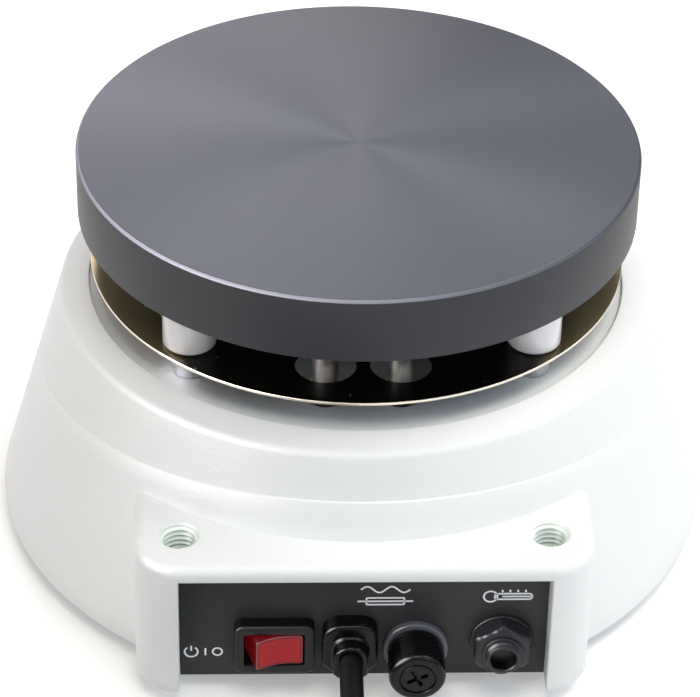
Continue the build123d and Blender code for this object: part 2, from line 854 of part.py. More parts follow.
# ---------------------------------------------------------------- rear panel
with BuildPart() as rear_panel:
    with BuildSketch(on_panel(0, 0)):
        with Locations((0, (lip_height + panel_tuck + panel_foot) / 2)):
            Rectangle(2 * (recess_half_width - seat_gap), lip_height + panel_tuck - panel_foot)
    extrude(amount=-panel_thickness)
    # tabs that lie on the base cover
    with BuildSketch(Plane.XY.offset(cover_top)):
        for side in (1, -1):
            with Locations((side * tab_place, panel_back - tab_depth / 2 + panel_thickness / 2)):
                Rectangle(tab_width, tab_depth + panel_thickness)
    extrude(amount=panel_thickness)
    with BuildSketch(Plane.XY.offset(cover_top)):
        for side in (1, -1):
            with Locations((side * tab_place, panel_back - tab_depth / 2)):
                Circle(screw_radius + seat_gap)
    extrude(amount=panel_thickness, mode=Mode.SUBTRACT)
    # cut-outs for the fittings
    with BuildSketch(on_panel(switch_x, switch_rise)):
        Rectangle(switch_body_width + 2 * seat_gap, switch_body_height + 2 * seat_gap)
    extrude(amount=-panel_thickness, mode=Mode.SUBTRACT)
    for x, rise, radius in (
        (grip_x, grip_rise, grip_bush_radius),
        (fuse_x, fuse_rise, holder_radius),
        (jack_x, jack_rise, nose_radius),
    ):
        with BuildSketch(on_panel(x, rise)):
            Circle(radius + seat_gap)
        extrude(amount=-panel_thickness, mode=Mode.SUBTRACT)
rear_panel.part.label = "rear_panel"
export_step(rear_panel.part, "parts/rear_panel.step")

with BuildPart() as panel_screws:
    for side in (1, -1):
        place = (side * tab_place, panel_back - tab_depth / 2)
        with BuildSketch(Plane.XY.offset(cover_bottom - panel_screw_head)):
            with Locations(place):
                Circle(screw_head_radius)
        extrude(amount=panel_screw_head)
        with BuildSketch(Plane.XY.offset(cover_bottom)):
            with Locations(place):
                Circle(screw_radius)
        extrude(amount=cover_thickness + panel_thickness + panel_screw_end)
        with BuildSketch(Plane.XY.offset(cover_top + panel_thickness)):
            with Locations(place):
                RegularPolygon(nut_radius, 6)
        extrude(amount=nut_height)
panel_screws.part.label = "panel_screws"
export_step(panel_screws.part, "parts/panel_screws.step")

# ---------------------------------------------------------------- power switch
with BuildPart() as switch_body:
    with BuildSketch(on_panel(switch_x, switch_rise)):
        RectangleRounded(bezel_width, bezel_height, bezel_corner)
    extrude(amount=bezel_proud)
    fillet(switch_body.edges().group_by(Axis.Y)[-1], bezel_round)
    with BuildSketch(on_panel(switch_x, switch_rise)):
        Rectangle(switch_body_width, switch_body_height)
    extrude(amount=-switch_body_depth)
    with BuildSketch(on_panel(switch_x, switch_rise, bezel_proud)):
        Rectangle(window_width, window_height)
    extrude(amount=-(bezel_proud + window_depth), mode=Mode.SUBTRACT)
    with BuildSketch(Plane.XY.offset(rim_z + switch_rise)):
        with Locations((switch_x, panel_face - rocker_pivot_depth)):
            Circle(rocker_pin_radius + running_gap)
    extrude(amount=switch_body_height / 2, both=True, mode=Mode.SUBTRACT)
switch_body.part.label = "switch_body"
export_step(switch_body.part, "parts/switch_body.step")

with BuildPart() as rocker:
    pivot_y = panel_face - rocker_pivot_depth
    dish = rocker_half_length * math.tan(math.radians(rocker_tilt))
    with BuildSketch(
        Plane(origin=(switch_x, pivot_y, rim_z + switch_rise), x_dir=(1, 0, 0), z_dir=(0, 0, 1))
    ):
        with BuildLine():
            ThreePointArc(
                (-rocker_half_length, rocker_crest),
                (0, rocker_crest - dish * rocker_dish),
                (rocker_half_length, rocker_crest),
            )
            Polyline(
                (rocker_half_length, rocker_crest),
                (rocker_skirt, rocker_skirt_reach),
                (rocker_foot_length, -rocker_foot),
                (-rocker_foot_length, -rocker_foot),
                (-rocker_skirt, rocker_skirt_reach),
                (-rocker_half_length, rocker_crest),
            )
        make_face()
    extrude(amount=window_height / 2 - rocker_side_gap, both=True)
    with BuildSketch(Plane.XY.offset(rim_z + switch_rise)):
        with Locations((switch_x, pivot_y)):
            Circle(rocker_pin_radius)
    extrude(amount=switch_body_height / 2 - seat_gap, both=True)
rocker.part = rocker.part.rotate(
    Axis((switch_x, pivot_y, 0), (0, 0, 1)), rocker_tilt
)
rocker.part.label = "rocker"
export_step(rocker.part, "parts/rocker.step")

with BuildPart() as switch_terminals:
    with BuildSketch(on_panel(switch_x, switch_rise, -switch_body_depth)):
        with GridLocations(terminal_pitch, terminal_rows, 2, 2):
            Rectangle(terminal_width, terminal_height)
    extrude(amount=-terminal_length)
switch_terminals.part.label = "switch_terminals"
export_step(switch_terminals.part, "parts/switch_terminals.step")

# ---------------------------------------------------------------- cord grip
with BuildPart() as cord_grip:
    with BuildSketch(on_panel(grip_x, grip_rise)):
        RectangleRounded(grip_width, grip_height, grip_corner)
    extrude(amount=grip_flange)
    fillet(cord_grip.edges().group_by(Axis.Y)[-1], grip_round)
    with BuildSketch(on_panel(grip_x, grip_rise, grip_flange)):
        Circle(grip_collar_radius)
    extrude(amount=grip_reach - grip_flange, taper=grip_draft)
    with BuildSketch(on_panel(grip_x, grip_rise)):
        Circle(grip_bush_radius)
    extrude(amount=-(panel_thickness + grip_bush_length), taper=bush_draft)
    with BuildSketch(on_panel(grip_x, grip_rise, grip_reach)):
        Circle(cord_radius + running_gap)
    extrude(amount=-(grip_reach + panel_thickness + grip_bush_length), mode=Mode.SUBTRACT)
cord_grip.part.label = "cord_grip"
export_step(cord_grip.part, "parts/cord_grip.step")

# ---------------------------------------------------------------- fuse
with BuildPart() as fuse_holder:
    with BuildSketch(on_panel(fuse_x, fuse_rise)):
        Circle(holder_flange_radius)
    extrude(amount=holder_flange)
    with BuildSketch(on_panel(fuse_x, fuse_rise)):
        Circle(holder_radius)
    extrude(amount=-holder_length)
    with BuildSketch(on_panel(fuse_x, fuse_rise, holder_flange)):
        Circle(holder_bore)
    extrude(amount=-(holder_flange + holder_length - holder_floor), mode=Mode.SUBTRACT)
fuse_holder.part.label = "fuse_holder"
export_step(fuse_holder.part, "parts/fuse_holder.step")

with BuildPart() as fuse_nut:
    with BuildSketch(on_panel(fuse_x, fuse_rise, -panel_thickness)):
        RegularPolygon(holder_nut_radius, 6)
        Circle(holder_radius, mode=Mode.SUBTRACT)
    extrude(amount=-holder_nut)
fuse_nut.part.label = "fuse_nut"
export_step(fuse_nut.part, "parts/fuse_nut.step")

stem_end = holder_flange + free_gap - cap_stem_length
with BuildPart() as fuse_cap:
    with BuildSketch(on_panel(fuse_x, fuse_rise, holder_flange + free_gap)):
        Circle(cap_radius)
    extrude(amount=cap_front - holder_flange - free_gap)
    fillet(fuse_cap.edges().group_by(Axis.Y)[-1], cap_round)
    with BuildSketch(on_panel(fuse_x, fuse_rise, holder_flange + free_gap)):
        Circle(cap_stem_radius)
    extrude(amount=-cap_stem_length)
    with BuildSketch(on_panel(fuse_x, fuse_rise, stem_end)):
        Circle(link_radius + running_gap)
    extrude(amount=link_seat, mode=Mode.SUBTRACT)
    # screwdriver cross
    with BuildSketch(on_panel(fuse_x, fuse_rise, cap_front)):
        Rectangle(slot_length, slot_width, rotation=slot_turn)
        Rectangle(slot_width, slot_length, rotation=slot_turn)
    extrude(amount=-slot_depth, mode=Mode.SUBTRACT)
fuse_cap.part.label = "fuse_cap"
export_step(fuse_cap.part, "parts/fuse_cap.step")

with BuildPart() as fuse_link:
    with BuildSketch(on_panel(fuse_x, fuse_rise, stem_end + link_seat - seat_gap)):
        Circle(link_radius)
    extrude(amount=-link_length)
fuse_link.part.label = "fuse_link"
export_step(fuse_link.part, "parts/fuse_link.step")

# ---------------------------------------------------------------- sensor jack
with BuildPart() as jack_washer:
    with BuildSketch(on_panel(jack_x, jack_rise)):
        Circle(washer_radius)
        Circle(nose_radius, mode=Mode.SUBTRACT)
    extrude(amount=washer_thickness)
jack_washer.part.label = "jack_washer"
export_step(jack_washer.part, "parts/jack_washer.step")

with BuildPart() as jack_nut:
    with BuildSketch(on_panel(jack_x, jack_rise, washer_thickness)):
        RegularPolygon(nut_across_flats / 2, 6, major_radius=False, rotation=30)
        Circle(nose_radius, mode=Mode.SUBTRACT)
    extrude(amount=nut_thickness)
jack_nut.part.label = "jack_nut"
export_step(jack_nut.part, "parts/jack_nut.step")

with BuildPart() as sensor_jack:
    with BuildSketch(on_panel(jack_x, jack_rise, nose_reach)):
        Circle(nose_radius)
    extrude(amount=-(nose_reach + panel_thickness))
    with BuildSketch(on_panel(jack_x, jack_rise, -panel_thickness)):
        Circle(jack_body_radius)
    extrude(amount=-jack_body_length)
    chamfer(sensor_jack.edges().group_by(Axis.Y)[-1], jack_chamfer)
    with BuildSketch(on_panel(jack_x, jack_rise, nose_reach)):
        Circle(jack_bore)
    extrude(amount=-(nose_reach + jack_body_length * 0.6), mode=Mode.SUBTRACT)
sensor_jack.part.label = "sensor_jack"
export_step(sensor_jack.part, "parts/sensor_jack.step")

# ---------------------------------------------------------------- motor and magnets
with BuildPart() as motor_bracket:
    with BuildSketch(Plane.XY.offset(bracket_under)):
        RectangleRounded(bracket_length, bracket_width, bracket_corner)
        with at_mounts():
            Circle(screw_radius + seat_gap, mode=Mode.SUBTRACT)
        Circle(bearing_radius - bearing_lip, mode=Mode.SUBTRACT)
    extrude(amount=bracket_thickness)
motor_bracket.part.label = "motor_bracket"
export_step(motor_bracket.part, "parts/motor_bracket.step")

with BuildPart() as bracket_mounts:
    with BuildSketch(Plane.XY.offset(bracket_top)):
        with at_mounts():
            Circle(grommet_radius)
            Circle(screw_radius + seat_gap, mode=Mode.SUBTRACT)
    extrude(amount=grommet_height)
bracket_mounts.part.label = "bracket_mounts"
export_step(bracket_mounts.part, "parts/bracket_mounts.step")

with BuildPart() as bracket_screws:
    with BuildSketch(Plane.XY.offset(bracket_under - 2)):
        with at_mounts():
            Circle(screw_head_radius)
    extrude(amount=2)
    with BuildSketch(Plane.XY.offset(bracket_under)):
        with at_mounts():
            Circle(screw_radius)
    extrude(amount=grommet_top + 3 - bracket_under)
bracket_screws.part.label = "bracket_screws"
export_step(bracket_screws.part, "parts/bracket_screws.step")

end_boss = bearing_width + motor_wall
with BuildPart() as motor_case:
    with BuildSketch(Plane.XY.offset(motor_bottom)):
        Circle(motor_radius)
    extrude(amount=motor_height)
    with BuildSketch(Plane.XY.offset(motor_bottom + motor_wall)):
        Circle(motor_radius - motor_wall)
    extrude(amount=motor_height - 2 * motor_wall, mode=Mode.SUBTRACT)
    for low in (motor_bottom, bracket_under - end_boss):
        with BuildSketch(Plane.XY.offset(low)):
            Circle(bearing_radius + bearing_boss)
        extrude(amount=end_boss)
    with BuildSketch(Plane.XY.offset(motor_bottom)):
        Circle(shaft_radius + 2)
    extrude(amount=motor_height, mode=Mode.SUBTRACT)
    for low in (motor_bottom, bracket_under - bearing_width):
        with BuildSketch(Plane.XY.offset(low)):
            Circle(bearing_radius)
        extrude(amount=bearing_width, mode=Mode.SUBTRACT)
motor_case.part.label = "motor_case"
export_step(motor_case.part, "parts/motor_case.step")

with BuildPart() as bearings:
    for low in (motor_bottom, bracket_under - bearing_width):
        with BuildSketch(Plane.XY.offset(low)):
            Circle(bearing_radius)
            Circle(shaft_radius + running_gap, mode=Mode.SUBTRACT)
        extrude(amount=bearing_width)
bearings.part.label = "bearings"
export_step(bearings.part, "parts/bearings.step")

stator_low = motor_bottom + (motor_height - stator_height) / 2
with BuildPart() as motor_stator:
    with BuildSketch(Plane.XY.offset(stator_low)):
        Circle(motor_radius - motor_wall - seat_gap)
        Circle(stator_inner, mode=Mode.SUBTRACT)
        with PolarLocations((stator_inner + motor_radius) / 2 - 1, 12):
            RectangleRounded(6, 4, 1, mode=Mode.SUBTRACT)
    extrude(amount=stator_height)
motor_stator.part.label = "motor_stator"
export_step(motor_stator.part, "parts/motor_stator.step")

with BuildPart() as motor_shaft:
    with BuildSketch(Plane.XY.offset(fan_under - 1)):
        Circle(shaft_radius)
    extrude(amount=carrier_top - 1 - fan_under)
motor_shaft.part.label = "motor_shaft"
export_step(motor_shaft.part, "parts/motor_shaft.step")

with BuildPart() as rotor_core:
    with BuildSketch(Plane.XY.offset(stator_low + 1)):
        Circle(rotor_radius)
        Circle(shaft_radius, mode=Mode.SUBTRACT)
    extrude(amount=stator_height - 2)
rotor_core.part.label = "rotor_core"
export_step(rotor_core.part, "parts/rotor_core.step")

with BuildPart() as magnet_carrier:
    with BuildSketch(Plane.XY.offset(carrier_under)):
        Circle(carrier_radius)
    extrude(amount=carrier_thickness)
    with BuildSketch(Plane.XY.offset(bracket_top + 1.6)):
        Circle(carrier_hub_radius)
    extrude(amount=carrier_under - bracket_top - 1.6)
    with BuildSketch(Plane.XY.offset(carrier_top)):
        with PolarLocations(magnet_place, 2):
            Circle(magnet_radius)
    extrude(amount=-magnet_height, mode=Mode.SUBTRACT)
    with BuildSketch(Plane.XY.offset(bracket_top)):
        Circle(shaft_radius)
    extrude(amount=carrier_top - 2 - bracket_top, mode=Mode.SUBTRACT)
magnet_carrier.part.label = "magnet_carrier"
export_step(magnet_carrier.part, "parts/magnet_carrier.step")

with BuildPart() as drive_magnets:
    with BuildSketch(Plane.XY.offset(carrier_top)):
        with PolarLocations(magnet_place, 2):
            Circle(magnet_radius)
    extrude(amount=-magnet_height)
drive_magnets.part.label = "drive_magnets"
export_step(drive_magnets.part, "parts/drive_magnets.step")

with BuildPart() as cooling_fan:
    with BuildSketch(Plane.XY.offset(fan_under)):
        Circle(fan_hub)
    extrude(amount=fan_height)
    for blade in range(fan_blades):
        turn = Location((0, 0, fan_under + fan_height / 2), (0, 0, blade * 360 / fan_blades))
        with Locations(turn * Location(((fan_radius + blade_root) / 2, 0, 0), (blade_pitch, 0, 0))):
            Box(fan_radius - blade_root, blade_chord, blade_sheet)
    with BuildSketch(Plane.XY.offset(fan_under)):
        Circle(shaft_radius)
    extrude(amount=fan_height, mode=Mode.SUBTRACT)
cooling_fan.part.label = "cooling_fan"
export_step(cooling_fan.part, "parts/cooling_fan.step")

# ---------------------------------------------------------------- electronics
board_top = cover_top + board_rise + board_thickness
with BuildPart() as control_board:
    with BuildSketch(Plane.XY.offset(board_top - board_thickness)):
        with Locations((0, board_centre_y)):
            Rectangle(board_width, board_depth)
    extrude(amount=board_thickness)
control_board.part.label = "control_board"
export_step(control_board.part, "parts/control_board.step")

with BuildPart() as board_parts:
    # place, width, depth and height in steps of the board's grid
    blocks = (
        (-14, 4, 9, 7, 7),
        (-2, 5, 8, 8, 6),
        (9, 4, 5, 9, 9),
        (-15, -6, 7, 5, 2.5),
        (-3, -6, 8, 4, 1.5),
        (8, -6, 6, 6, 1),
        (16, -5, 4, 7, 2.5),
    )
    for block in blocks:
        x, y, wide, deep, tall = (board_grid * steps for steps in block)
        with Locations((x, board_centre_y + y, board_top + tall / 2)):
            Box(wide, deep, tall)
    for x in (15 * board_grid, 18 * board_grid):
        with Locations((x, board_centre_y + 5 * board_grid, board_top + capacitor_height / 2)):
            Cylinder(capacitor_radius, capacitor_height)
board_parts.part.label = "board_parts"
export_step(board_parts.part, "parts/board_parts.step")

with BuildPart() as transformer:
    with Locations((transformer_x, 0, cover_top + transformer_height / 2)):
        Box(transformer_width, transformer_length, transformer_height)
    with Locations((transformer_x, 0, cover_top + transformer_height / 2)):
        Box(winding_width, winding_length, winding_height)
transformer.part.label = "transformer"
export_step(transformer.part, "parts/transformer.step")

# ---------------------------------------------------------------- console
fascia_top = fascia_thickness - fascia_recess
with BuildPart() as front_fascia:
    with BuildSketch(on_console(0, 0, -fascia_recess)):
        RectangleRounded(fascia_width - 2 * seat_gap, fascia_height - 2 * seat_gap, fascia_corner - seat_gap)
        with Locations((0, display_up)):
            RectangleRounded(display_width, display_height, display_corner, mode=Mode.SUBTRACT)
    extrude(amount=fascia_thickness)
    for side in (1, -1):
        with BuildSketch(on_console(side * knob_place, 0, -fascia_recess)):
            Circle(spindle_radius + fascia_hole_gap)
        extrude(amount=fascia_thickness, mode=Mode.SUBTRACT)
        with BuildSketch(on_console(side * lamp_place, lamp_rise, -fascia_recess)):
            Circle(lamp_radius)
        extrude(amount=fascia_thickness, mode=Mode.SUBTRACT)
front_fascia.part.label = "front_fascia"
export_step(front_fascia.part, "parts/front_fascia.step")

with BuildPart() as display_window:
    with BuildSketch(on_console(0, display_up, fascia_top)):
        RectangleRounded(display_width, display_height, display_corner)
    extrude(amount=-fascia_thickness)
display_window.part.label = "display_window"
export_step(display_window.part, "parts/display_window.step")

with BuildPart() as indicator_lamps:
    for side in (1, -1):
        with BuildSketch(on_console(side * lamp_place, lamp_rise, fascia_top)):
            Circle(lamp_radius)
        extrude(amount=-(fascia_top + wall + 3))
        with BuildSketch(on_console(side * lamp_place, lamp_rise, fascia_top)):
            Circle(lamp_radius - lamp_dome)
        extrude(amount=lamp_proud)
indicator_lamps.part.label = "indicator_lamps"
export_step(indicator_lamps.part, "parts/indicator_lamps.step")

for side, name in ((1, "speed_knob"), (-1, "heat_knob")):
    with BuildPart() as knob:
        with BuildSketch(on_console(side * knob_place, 0, fascia_top + knob_gap)):
            Circle(knob_radius)
        with BuildSketch(on_console(side * knob_place, 0, fascia_top + knob_gap + knob_height)):
            Circle(knob_top_radius)
        loft()
        with BuildSketch(on_console(side * knob_place, 0, fascia_top + knob_gap)):
            Circle(spindle_radius)
        extrude(amount=-(fascia_top + knob_gap + wall + spindle_reach))
    knob.part.label = name
    export_step(knob.part, f"parts/{name}.step")

with BuildPart() as control_pots:
    for side in (1, -1):
        with BuildSketch(on_console(side * knob_place, 0, -wall)):
            Circle(pot_radius)
        extrude(amount=-pot_depth)
        with BuildSketch(on_console(side * knob_place, 0, -wall)):
            Circle(spindle_radius + spindle_collar)
        extrude(amount=wall - fascia_recess)
        with BuildSketch(on_console(side * knob_place, 0, 0)):
            Circle(spindle_radius + running_gap)
        extrude(amount=-(wall + spindle_reach + 1), mode=Mode.SUBTRACT)
control_pots.part.label = "control_pots"
export_step(control_pots.part, "parts/control_pots.step")

# ---------------------------------------------------------------- power cord
# The route leaves the grip straight out, comes down to the bench and runs into the coil.
exit_y = panel_face + grip_reach
exit_z = rim_z + grip_rise
route = [
    (grip_x, exit_y - grip_reach - panel_thickness - grip_bush_length, exit_z),
    (grip_x, exit_y + 21.5, exit_z),
    (grip_x, exit_y + 44.0, cord_radius + 0.05),
    (grip_x, coil_centre_y - 6, cord_radius + 0.05),
]


def corner_radii(points):
    """As large an arc at each corner as its two runs allow."""
    radii = []
    for before, here, after in zip(points, points[1:], points[2:]):
        first = Vector(*here) - Vector(*before)
        second = Vector(*after) - Vector(*here)
        turn = math.radians(first.get_angle(second))
        radii.append(0.45 * min(first.length, second.length) / math.tan(turn / 2))
    return radii


cord_radii = corner_radii([(grip_x, exit_y, exit_z)] + route[1:])
print("cord radii", [round(r, 1) for r in cord_radii])
with BuildPart() as power_cord:
    with BuildLine() as cord_path:
        FilletPolyline(*route, radius=cord_radii)
    with BuildSketch(Plane(origin=cord_path.line @ 0, z_dir=cord_path.line % 0)):
        Circle(cord_radius)
    sweep()
power_cord.part.label = "power_cord"
export_step(power_cord.part, "parts/power_cord.step")
cord_section = math.pi * cord_radius**2
cord_run = cord_path.wire().length
cord_error = power_cord.part.volume / (cord_section * cord_run) - 1
print("cord length", round(cord_run, 1), "volume error", round(cord_error, 4))

coil_middle = coil_middle_turns * cord_radius
coil_outer = coil_middle + coil_columns * cord_radius
coil_inner = coil_middle - coil_columns * cord_radius
coil_height = coil_layers * 2 * cord_radius
coil_centre_x = grip_x + coil_outer - cord_radius
with BuildPart() as cord_coil:
    with BuildSketch(Plane.XY):
        with Locations((coil_centre_x, coil_centre_y)):
            Circle(coil_outer)
            Circle(coil_inner, mode=Mode.SUBTRACT)
    extrude(amount=coil_height)
cord_coil.part.label = "cord_coil"
export_step(cord_coil.part, "parts/cord_coil.step")

# the tail climbs a little from the coil's upper layer to the plug
tail_y = coil_centre_y + coil_outer - 2.5 * cord_radius
tail_start_z = coil_height - cord_radius
plug_x = coil_centre_x + tail_length
plug_z = plug_height / 2
tail_start = Vector(coil_centre_x + 16, tail_y, tail_start_z)
tail_end = Vector(plug_x + 5, tail_y, plug_z)
with BuildPart() as cord_tail:
    with BuildSketch(Plane(origin=tail_start, z_dir=tail_end - tail_start)):
        Circle(cord_radius)
    extrude(amount=(tail_end - tail_start).length)
cord_tail.part.label = "cord_tail"
export_step(cord_tail.part, "parts/cord_tail.step")

with BuildPart() as plug_body:
    with BuildSketch(Plane.YZ.offset(plug_x)):
        with Locations((tail_y, plug_z)):
            Circle(cord_radius + neck_wall)
    with BuildSketch(Plane.YZ.offset(plug_x + plug_neck)):
        with Locations((tail_y, plug_z)):
            Circle(cord_radius + neck_end_wall)
    loft()
    with BuildSketch(Plane.YZ.offset(plug_x + plug_neck)):
        with Locations((tail_y, plug_z)):
            RectangleRounded(plug_width, plug_height, plug_corner)
    extrude(amount=plug_length)
    chamfer(plug_body.edges().group_by(Axis.X)[-1], plug_chamfer)
    with BuildSketch(Plane(origin=tail_start, z_dir=tail_end - tail_start)):
        Circle(cord_radius)
    extrude(amount=(tail_end - tail_start).length, mode=Mode.SUBTRACT)
plug_body.part.label = "plug_body"
export_step(plug_body.part, "parts/plug_body.step")

plug_face = plug_x + plug_neck + plug_length
blade_z = plug_z - 4.5
with BuildPart() as plug_pins:
    with BuildSketch(Plane.YZ.offset(plug_face)):
        with Locations((tail_y - blade_spacing / 2, blade_z), (tail_y + blade_spacing / 2, blade_z)):
            Rectangle(blade_thickness, blade_width)
        with Locations((tail_y, blade_z + earth_offset)):
            Circle(earth_radius)
    extrude(amount=blade_length)
plug_pins.part.label = "plug_pins"
export_step(plug_pins.part, "parts/plug_pins.step")
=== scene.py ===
import bmesh
import bpy
import numpy as np
from mathutils import Matrix, Vector


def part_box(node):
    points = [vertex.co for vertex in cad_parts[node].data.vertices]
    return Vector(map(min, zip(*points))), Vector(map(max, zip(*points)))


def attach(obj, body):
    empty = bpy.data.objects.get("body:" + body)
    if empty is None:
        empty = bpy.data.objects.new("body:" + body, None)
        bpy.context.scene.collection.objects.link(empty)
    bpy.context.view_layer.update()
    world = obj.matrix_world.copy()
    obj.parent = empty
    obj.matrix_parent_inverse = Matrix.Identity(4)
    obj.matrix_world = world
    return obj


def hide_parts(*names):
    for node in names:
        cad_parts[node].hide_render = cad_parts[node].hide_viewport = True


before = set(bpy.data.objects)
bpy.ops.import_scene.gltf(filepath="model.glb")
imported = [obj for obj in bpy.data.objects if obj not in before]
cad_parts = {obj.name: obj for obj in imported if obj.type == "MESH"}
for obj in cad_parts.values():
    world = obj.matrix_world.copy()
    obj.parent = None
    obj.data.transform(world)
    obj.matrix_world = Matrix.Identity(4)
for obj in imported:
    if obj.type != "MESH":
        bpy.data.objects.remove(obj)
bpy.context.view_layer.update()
scene = bpy.context.scene
mm = 0.001
print("frame loaded,", len(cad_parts), "nodes")


# grids and meshes, all worked out in millimetres
def low(node):
    return np.array(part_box(node)[0]) / mm


def high(node):
    return np.array(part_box(node)[1]) / mm


def middle(node):
    return (low(node) + high(node)) / 2


def grid(points, wrapRows=False, wrapColumns=False, keep=None):
    # a sheet of points, rows by columns, becomes quads; keep is a mask that says which quads stay
    rows, columns = points.shape[:2]
    number = np.arange(rows * columns).reshape(rows, columns)
    if wrapRows:
        number = np.vstack([number, number[:1]])
    if wrapColumns:
        number = np.hstack([number, number[:, :1]])
    quads = np.stack([number[:-1, :-1], number[:-1, 1:], number[1:, 1:], number[1:, :-1]], -1)
    if keep is not None:
        quads = quads[keep]
    return points.reshape(-1, 3), quads.reshape(-1, 4)


def makePiece(name, patches, finish, body="base", replaces=(), sharp=32, weld=0.0004):
    # joins the patches into one mesh in metres, welds their seams and turns the faces outwards
    points = np.concatenate([p for p, q in patches]) * mm
    starts = np.cumsum([0] + [len(p) for p, q in patches[:-1]])
    quads = np.concatenate([q + s for (p, q), s in zip(patches, starts)])
    mesh = bpy.data.meshes.new(name)
    mesh.vertices.add(len(points))
    mesh.vertices.foreach_set("co", points.astype(np.float32).ravel())
    mesh.loops.add(quads.size)
    mesh.loops.foreach_set("vertex_index", quads.astype(np.int32).ravel())
    mesh.polygons.add(len(quads))
    mesh.polygons.foreach_set("loop_start", np.arange(0, quads.size, 4, dtype=np.int32))
    mesh.update(calc_edges=True)
    work = bmesh.new()
    work.from_mesh(mesh)
    bmesh.ops.remove_doubles(work, verts=work.verts, dist=weld * mm)
    bmesh.ops.dissolve_degenerate(work, edges=work.edges, dist=weld * mm)
    bmesh.ops.recalc_face_normals(work, faces=work.faces)
    work.to_mesh(mesh)
    work.free()
    mesh.shade_smooth()
    mesh.set_sharp_from_angle(angle=np.radians(sharp))
    piece = bpy.data.objects.new(name, mesh)
    scene.collection.objects.link(piece)
    mesh.materials.append(finish)
    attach(piece, body)
    if replaces:
        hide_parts(*replaces)
    return piece


def rounded(corners, steps=6):
    # a line through (a, b, radius) corners, each rounded by an arc of its radius
    line = []
    last = len(corners) - 1
    for i, (a, b, radius) in enumerate(corners):
        here = np.array([a, b], float)
        if i in (0, last) or radius == 0:
            line.append(here[None])
            continue
        back = np.array(corners[i - 1][:2], float) - here
        ahead = np.array(corners[i + 1][:2], float) - here
        back, ahead = back / np.linalg.norm(back), ahead / np.linalg.norm(ahead)
        half = np.arccos(np.clip(back @ ahead, -1, 1)) / 2
        bisector = (back + ahead) / np.linalg.norm(back + ahead)
        centre = here + bisector * radius / np.sin(half)
        first = back * radius / np.tan(half) + here - centre
        second = ahead * radius / np.tan(half) + here - centre
        turn = np.pi - 2 * half
        t = np.linspace(0, 1, steps + 1)[:, None]
        arc = (np.sin((1 - t) * turn) * first + np.sin(t * turn) * second) / np.sin(turn)
        line.append(centre + arc)
    return np.concatenate(line)


def axes(direction, across=None):
    # two unit vectors square to a direction, and the direction
    w = np.array(direction, float)
    w = w / np.linalg.norm(w)
    if across is None:
        across = (1, 0, 0) if abs(w[0]) < 0.9 else (0, 1, 0)
    u = np.array(across, float)
    u = u - w * (u @ w)
    u = u / np.linalg.norm(u)
    return u, np.cross(w, u), w


def turned(profile, centre=(0, 0, 0), direction=(0, 0, 1), steps=96):
    # a lathe: each profile point (radius, along) is carried round the axis
    profile = np.asarray(profile, float)
    u, v, w = axes(direction)
    a = np.linspace(0, 2 * np.pi, steps, endpoint=False)[None, :, None]
    r, t = profile[:, 0][:, None, None], profile[:, 1][:, None, None]
    points = np.array(centre, float) + r * (np.cos(a) * u + np.sin(a) * v) + t * w
    return grid(points, wrapColumns=True)


def rectangleLoop(width, height, corner, steps=5):
    # a closed rectangle with round corners, as x and y, anticlockwise
    corner = max(corner, 0.01)
    a = np.linspace(0, np.pi / 2, steps + 1)
    x, y = width / 2 - corner, height / 2 - corner
    parts = []
    for i, (sx, sy) in enumerate(((1, 1), (-1, 1), (-1, -1), (1, -1))):
        turn = a + i * np.pi / 2
        parts.append(np.stack([sx * x + corner * np.cos(turn), sy * y + corner * np.sin(turn)], -1))
    return np.concatenate(parts)


def grownLoop(size, grow=0.0):
    # the same for a size of (width, height, corner), grown or shrunk on every side
    wide, tall, corner = size
    return rectangleLoop(wide + 2 * grow, tall + 2 * grow, corner + grow)


def stacked(loops, centre, direction, across, close=(True, True)):
    # loops of x and y, each at its own distance along the direction, joined into a skin
    u, v, w = axes(direction, across)
    sheets = [
        np.array(centre, float) + loop[:, :1] * u + loop[:, 1:2] * v + along * w for loop, along in loops
    ]
    if close[0]:
        sheets.insert(0, np.repeat(sheets[0].mean(0)[None], len(sheets[0]), 0))
    if close[1]:
        sheets.append(np.repeat(sheets[-1].mean(0)[None], len(sheets[-1]), 0))
    return grid(np.stack(sheets), wrapColumns=True)


def cutSheet(points, cells, wrapColumns=False, keep=None, fillRows=7):
    # takes rectangles of quads out of a sheet and fills each from a round hole out to its border; a cell is
    # (row0, row1, column0, column1, centre, radius), and the fill's rows crowd towards the hole
    rows, columns = points.shape[:2]
    mask = np.ones((rows - 1, columns if wrapColumns else columns - 1), bool)
    if keep is not None:
        mask &= keep
    patches, rings = [], []
    for i0, i1, j0, j1, centre, radius in cells:
        mask[i0:i1, j0:j1] = False
        border = np.concatenate([
            points[i0, j0:j1], points[i0:i1, j1], points[i1, j1:j0:-1], points[i1:i0:-1, j0]
        ])
        away = border - np.array(centre, float)
        ring = centre + away / np.linalg.norm(away, axis=1)[:, None] * radius
        k = (np.linspace(0, 1, fillRows) ** 1.4)[:, None, None]
        patches.append(grid(ring[None] * (1 - k) + border[None] * k, wrapColumns=True))
        rings.append(ring)
    patches.insert(0, grid(points, wrapColumns=wrapColumns, keep=mask))
    return patches, rings


def bored(ring, centre, steps):
    # carries a ring of points down a hole; each step is (radius, depth below the ring)
    away = ring - np.array(centre, float)
    away = away / np.linalg.norm(away, axis=1)[:, None]
    down = np.array([0, 0, -1.0])
    sheets = [ring] + [centre + away * r + down * d for r, d in steps]
    return grid(np.stack(sheets), wrapColumns=True)


print("mesh tools ready")


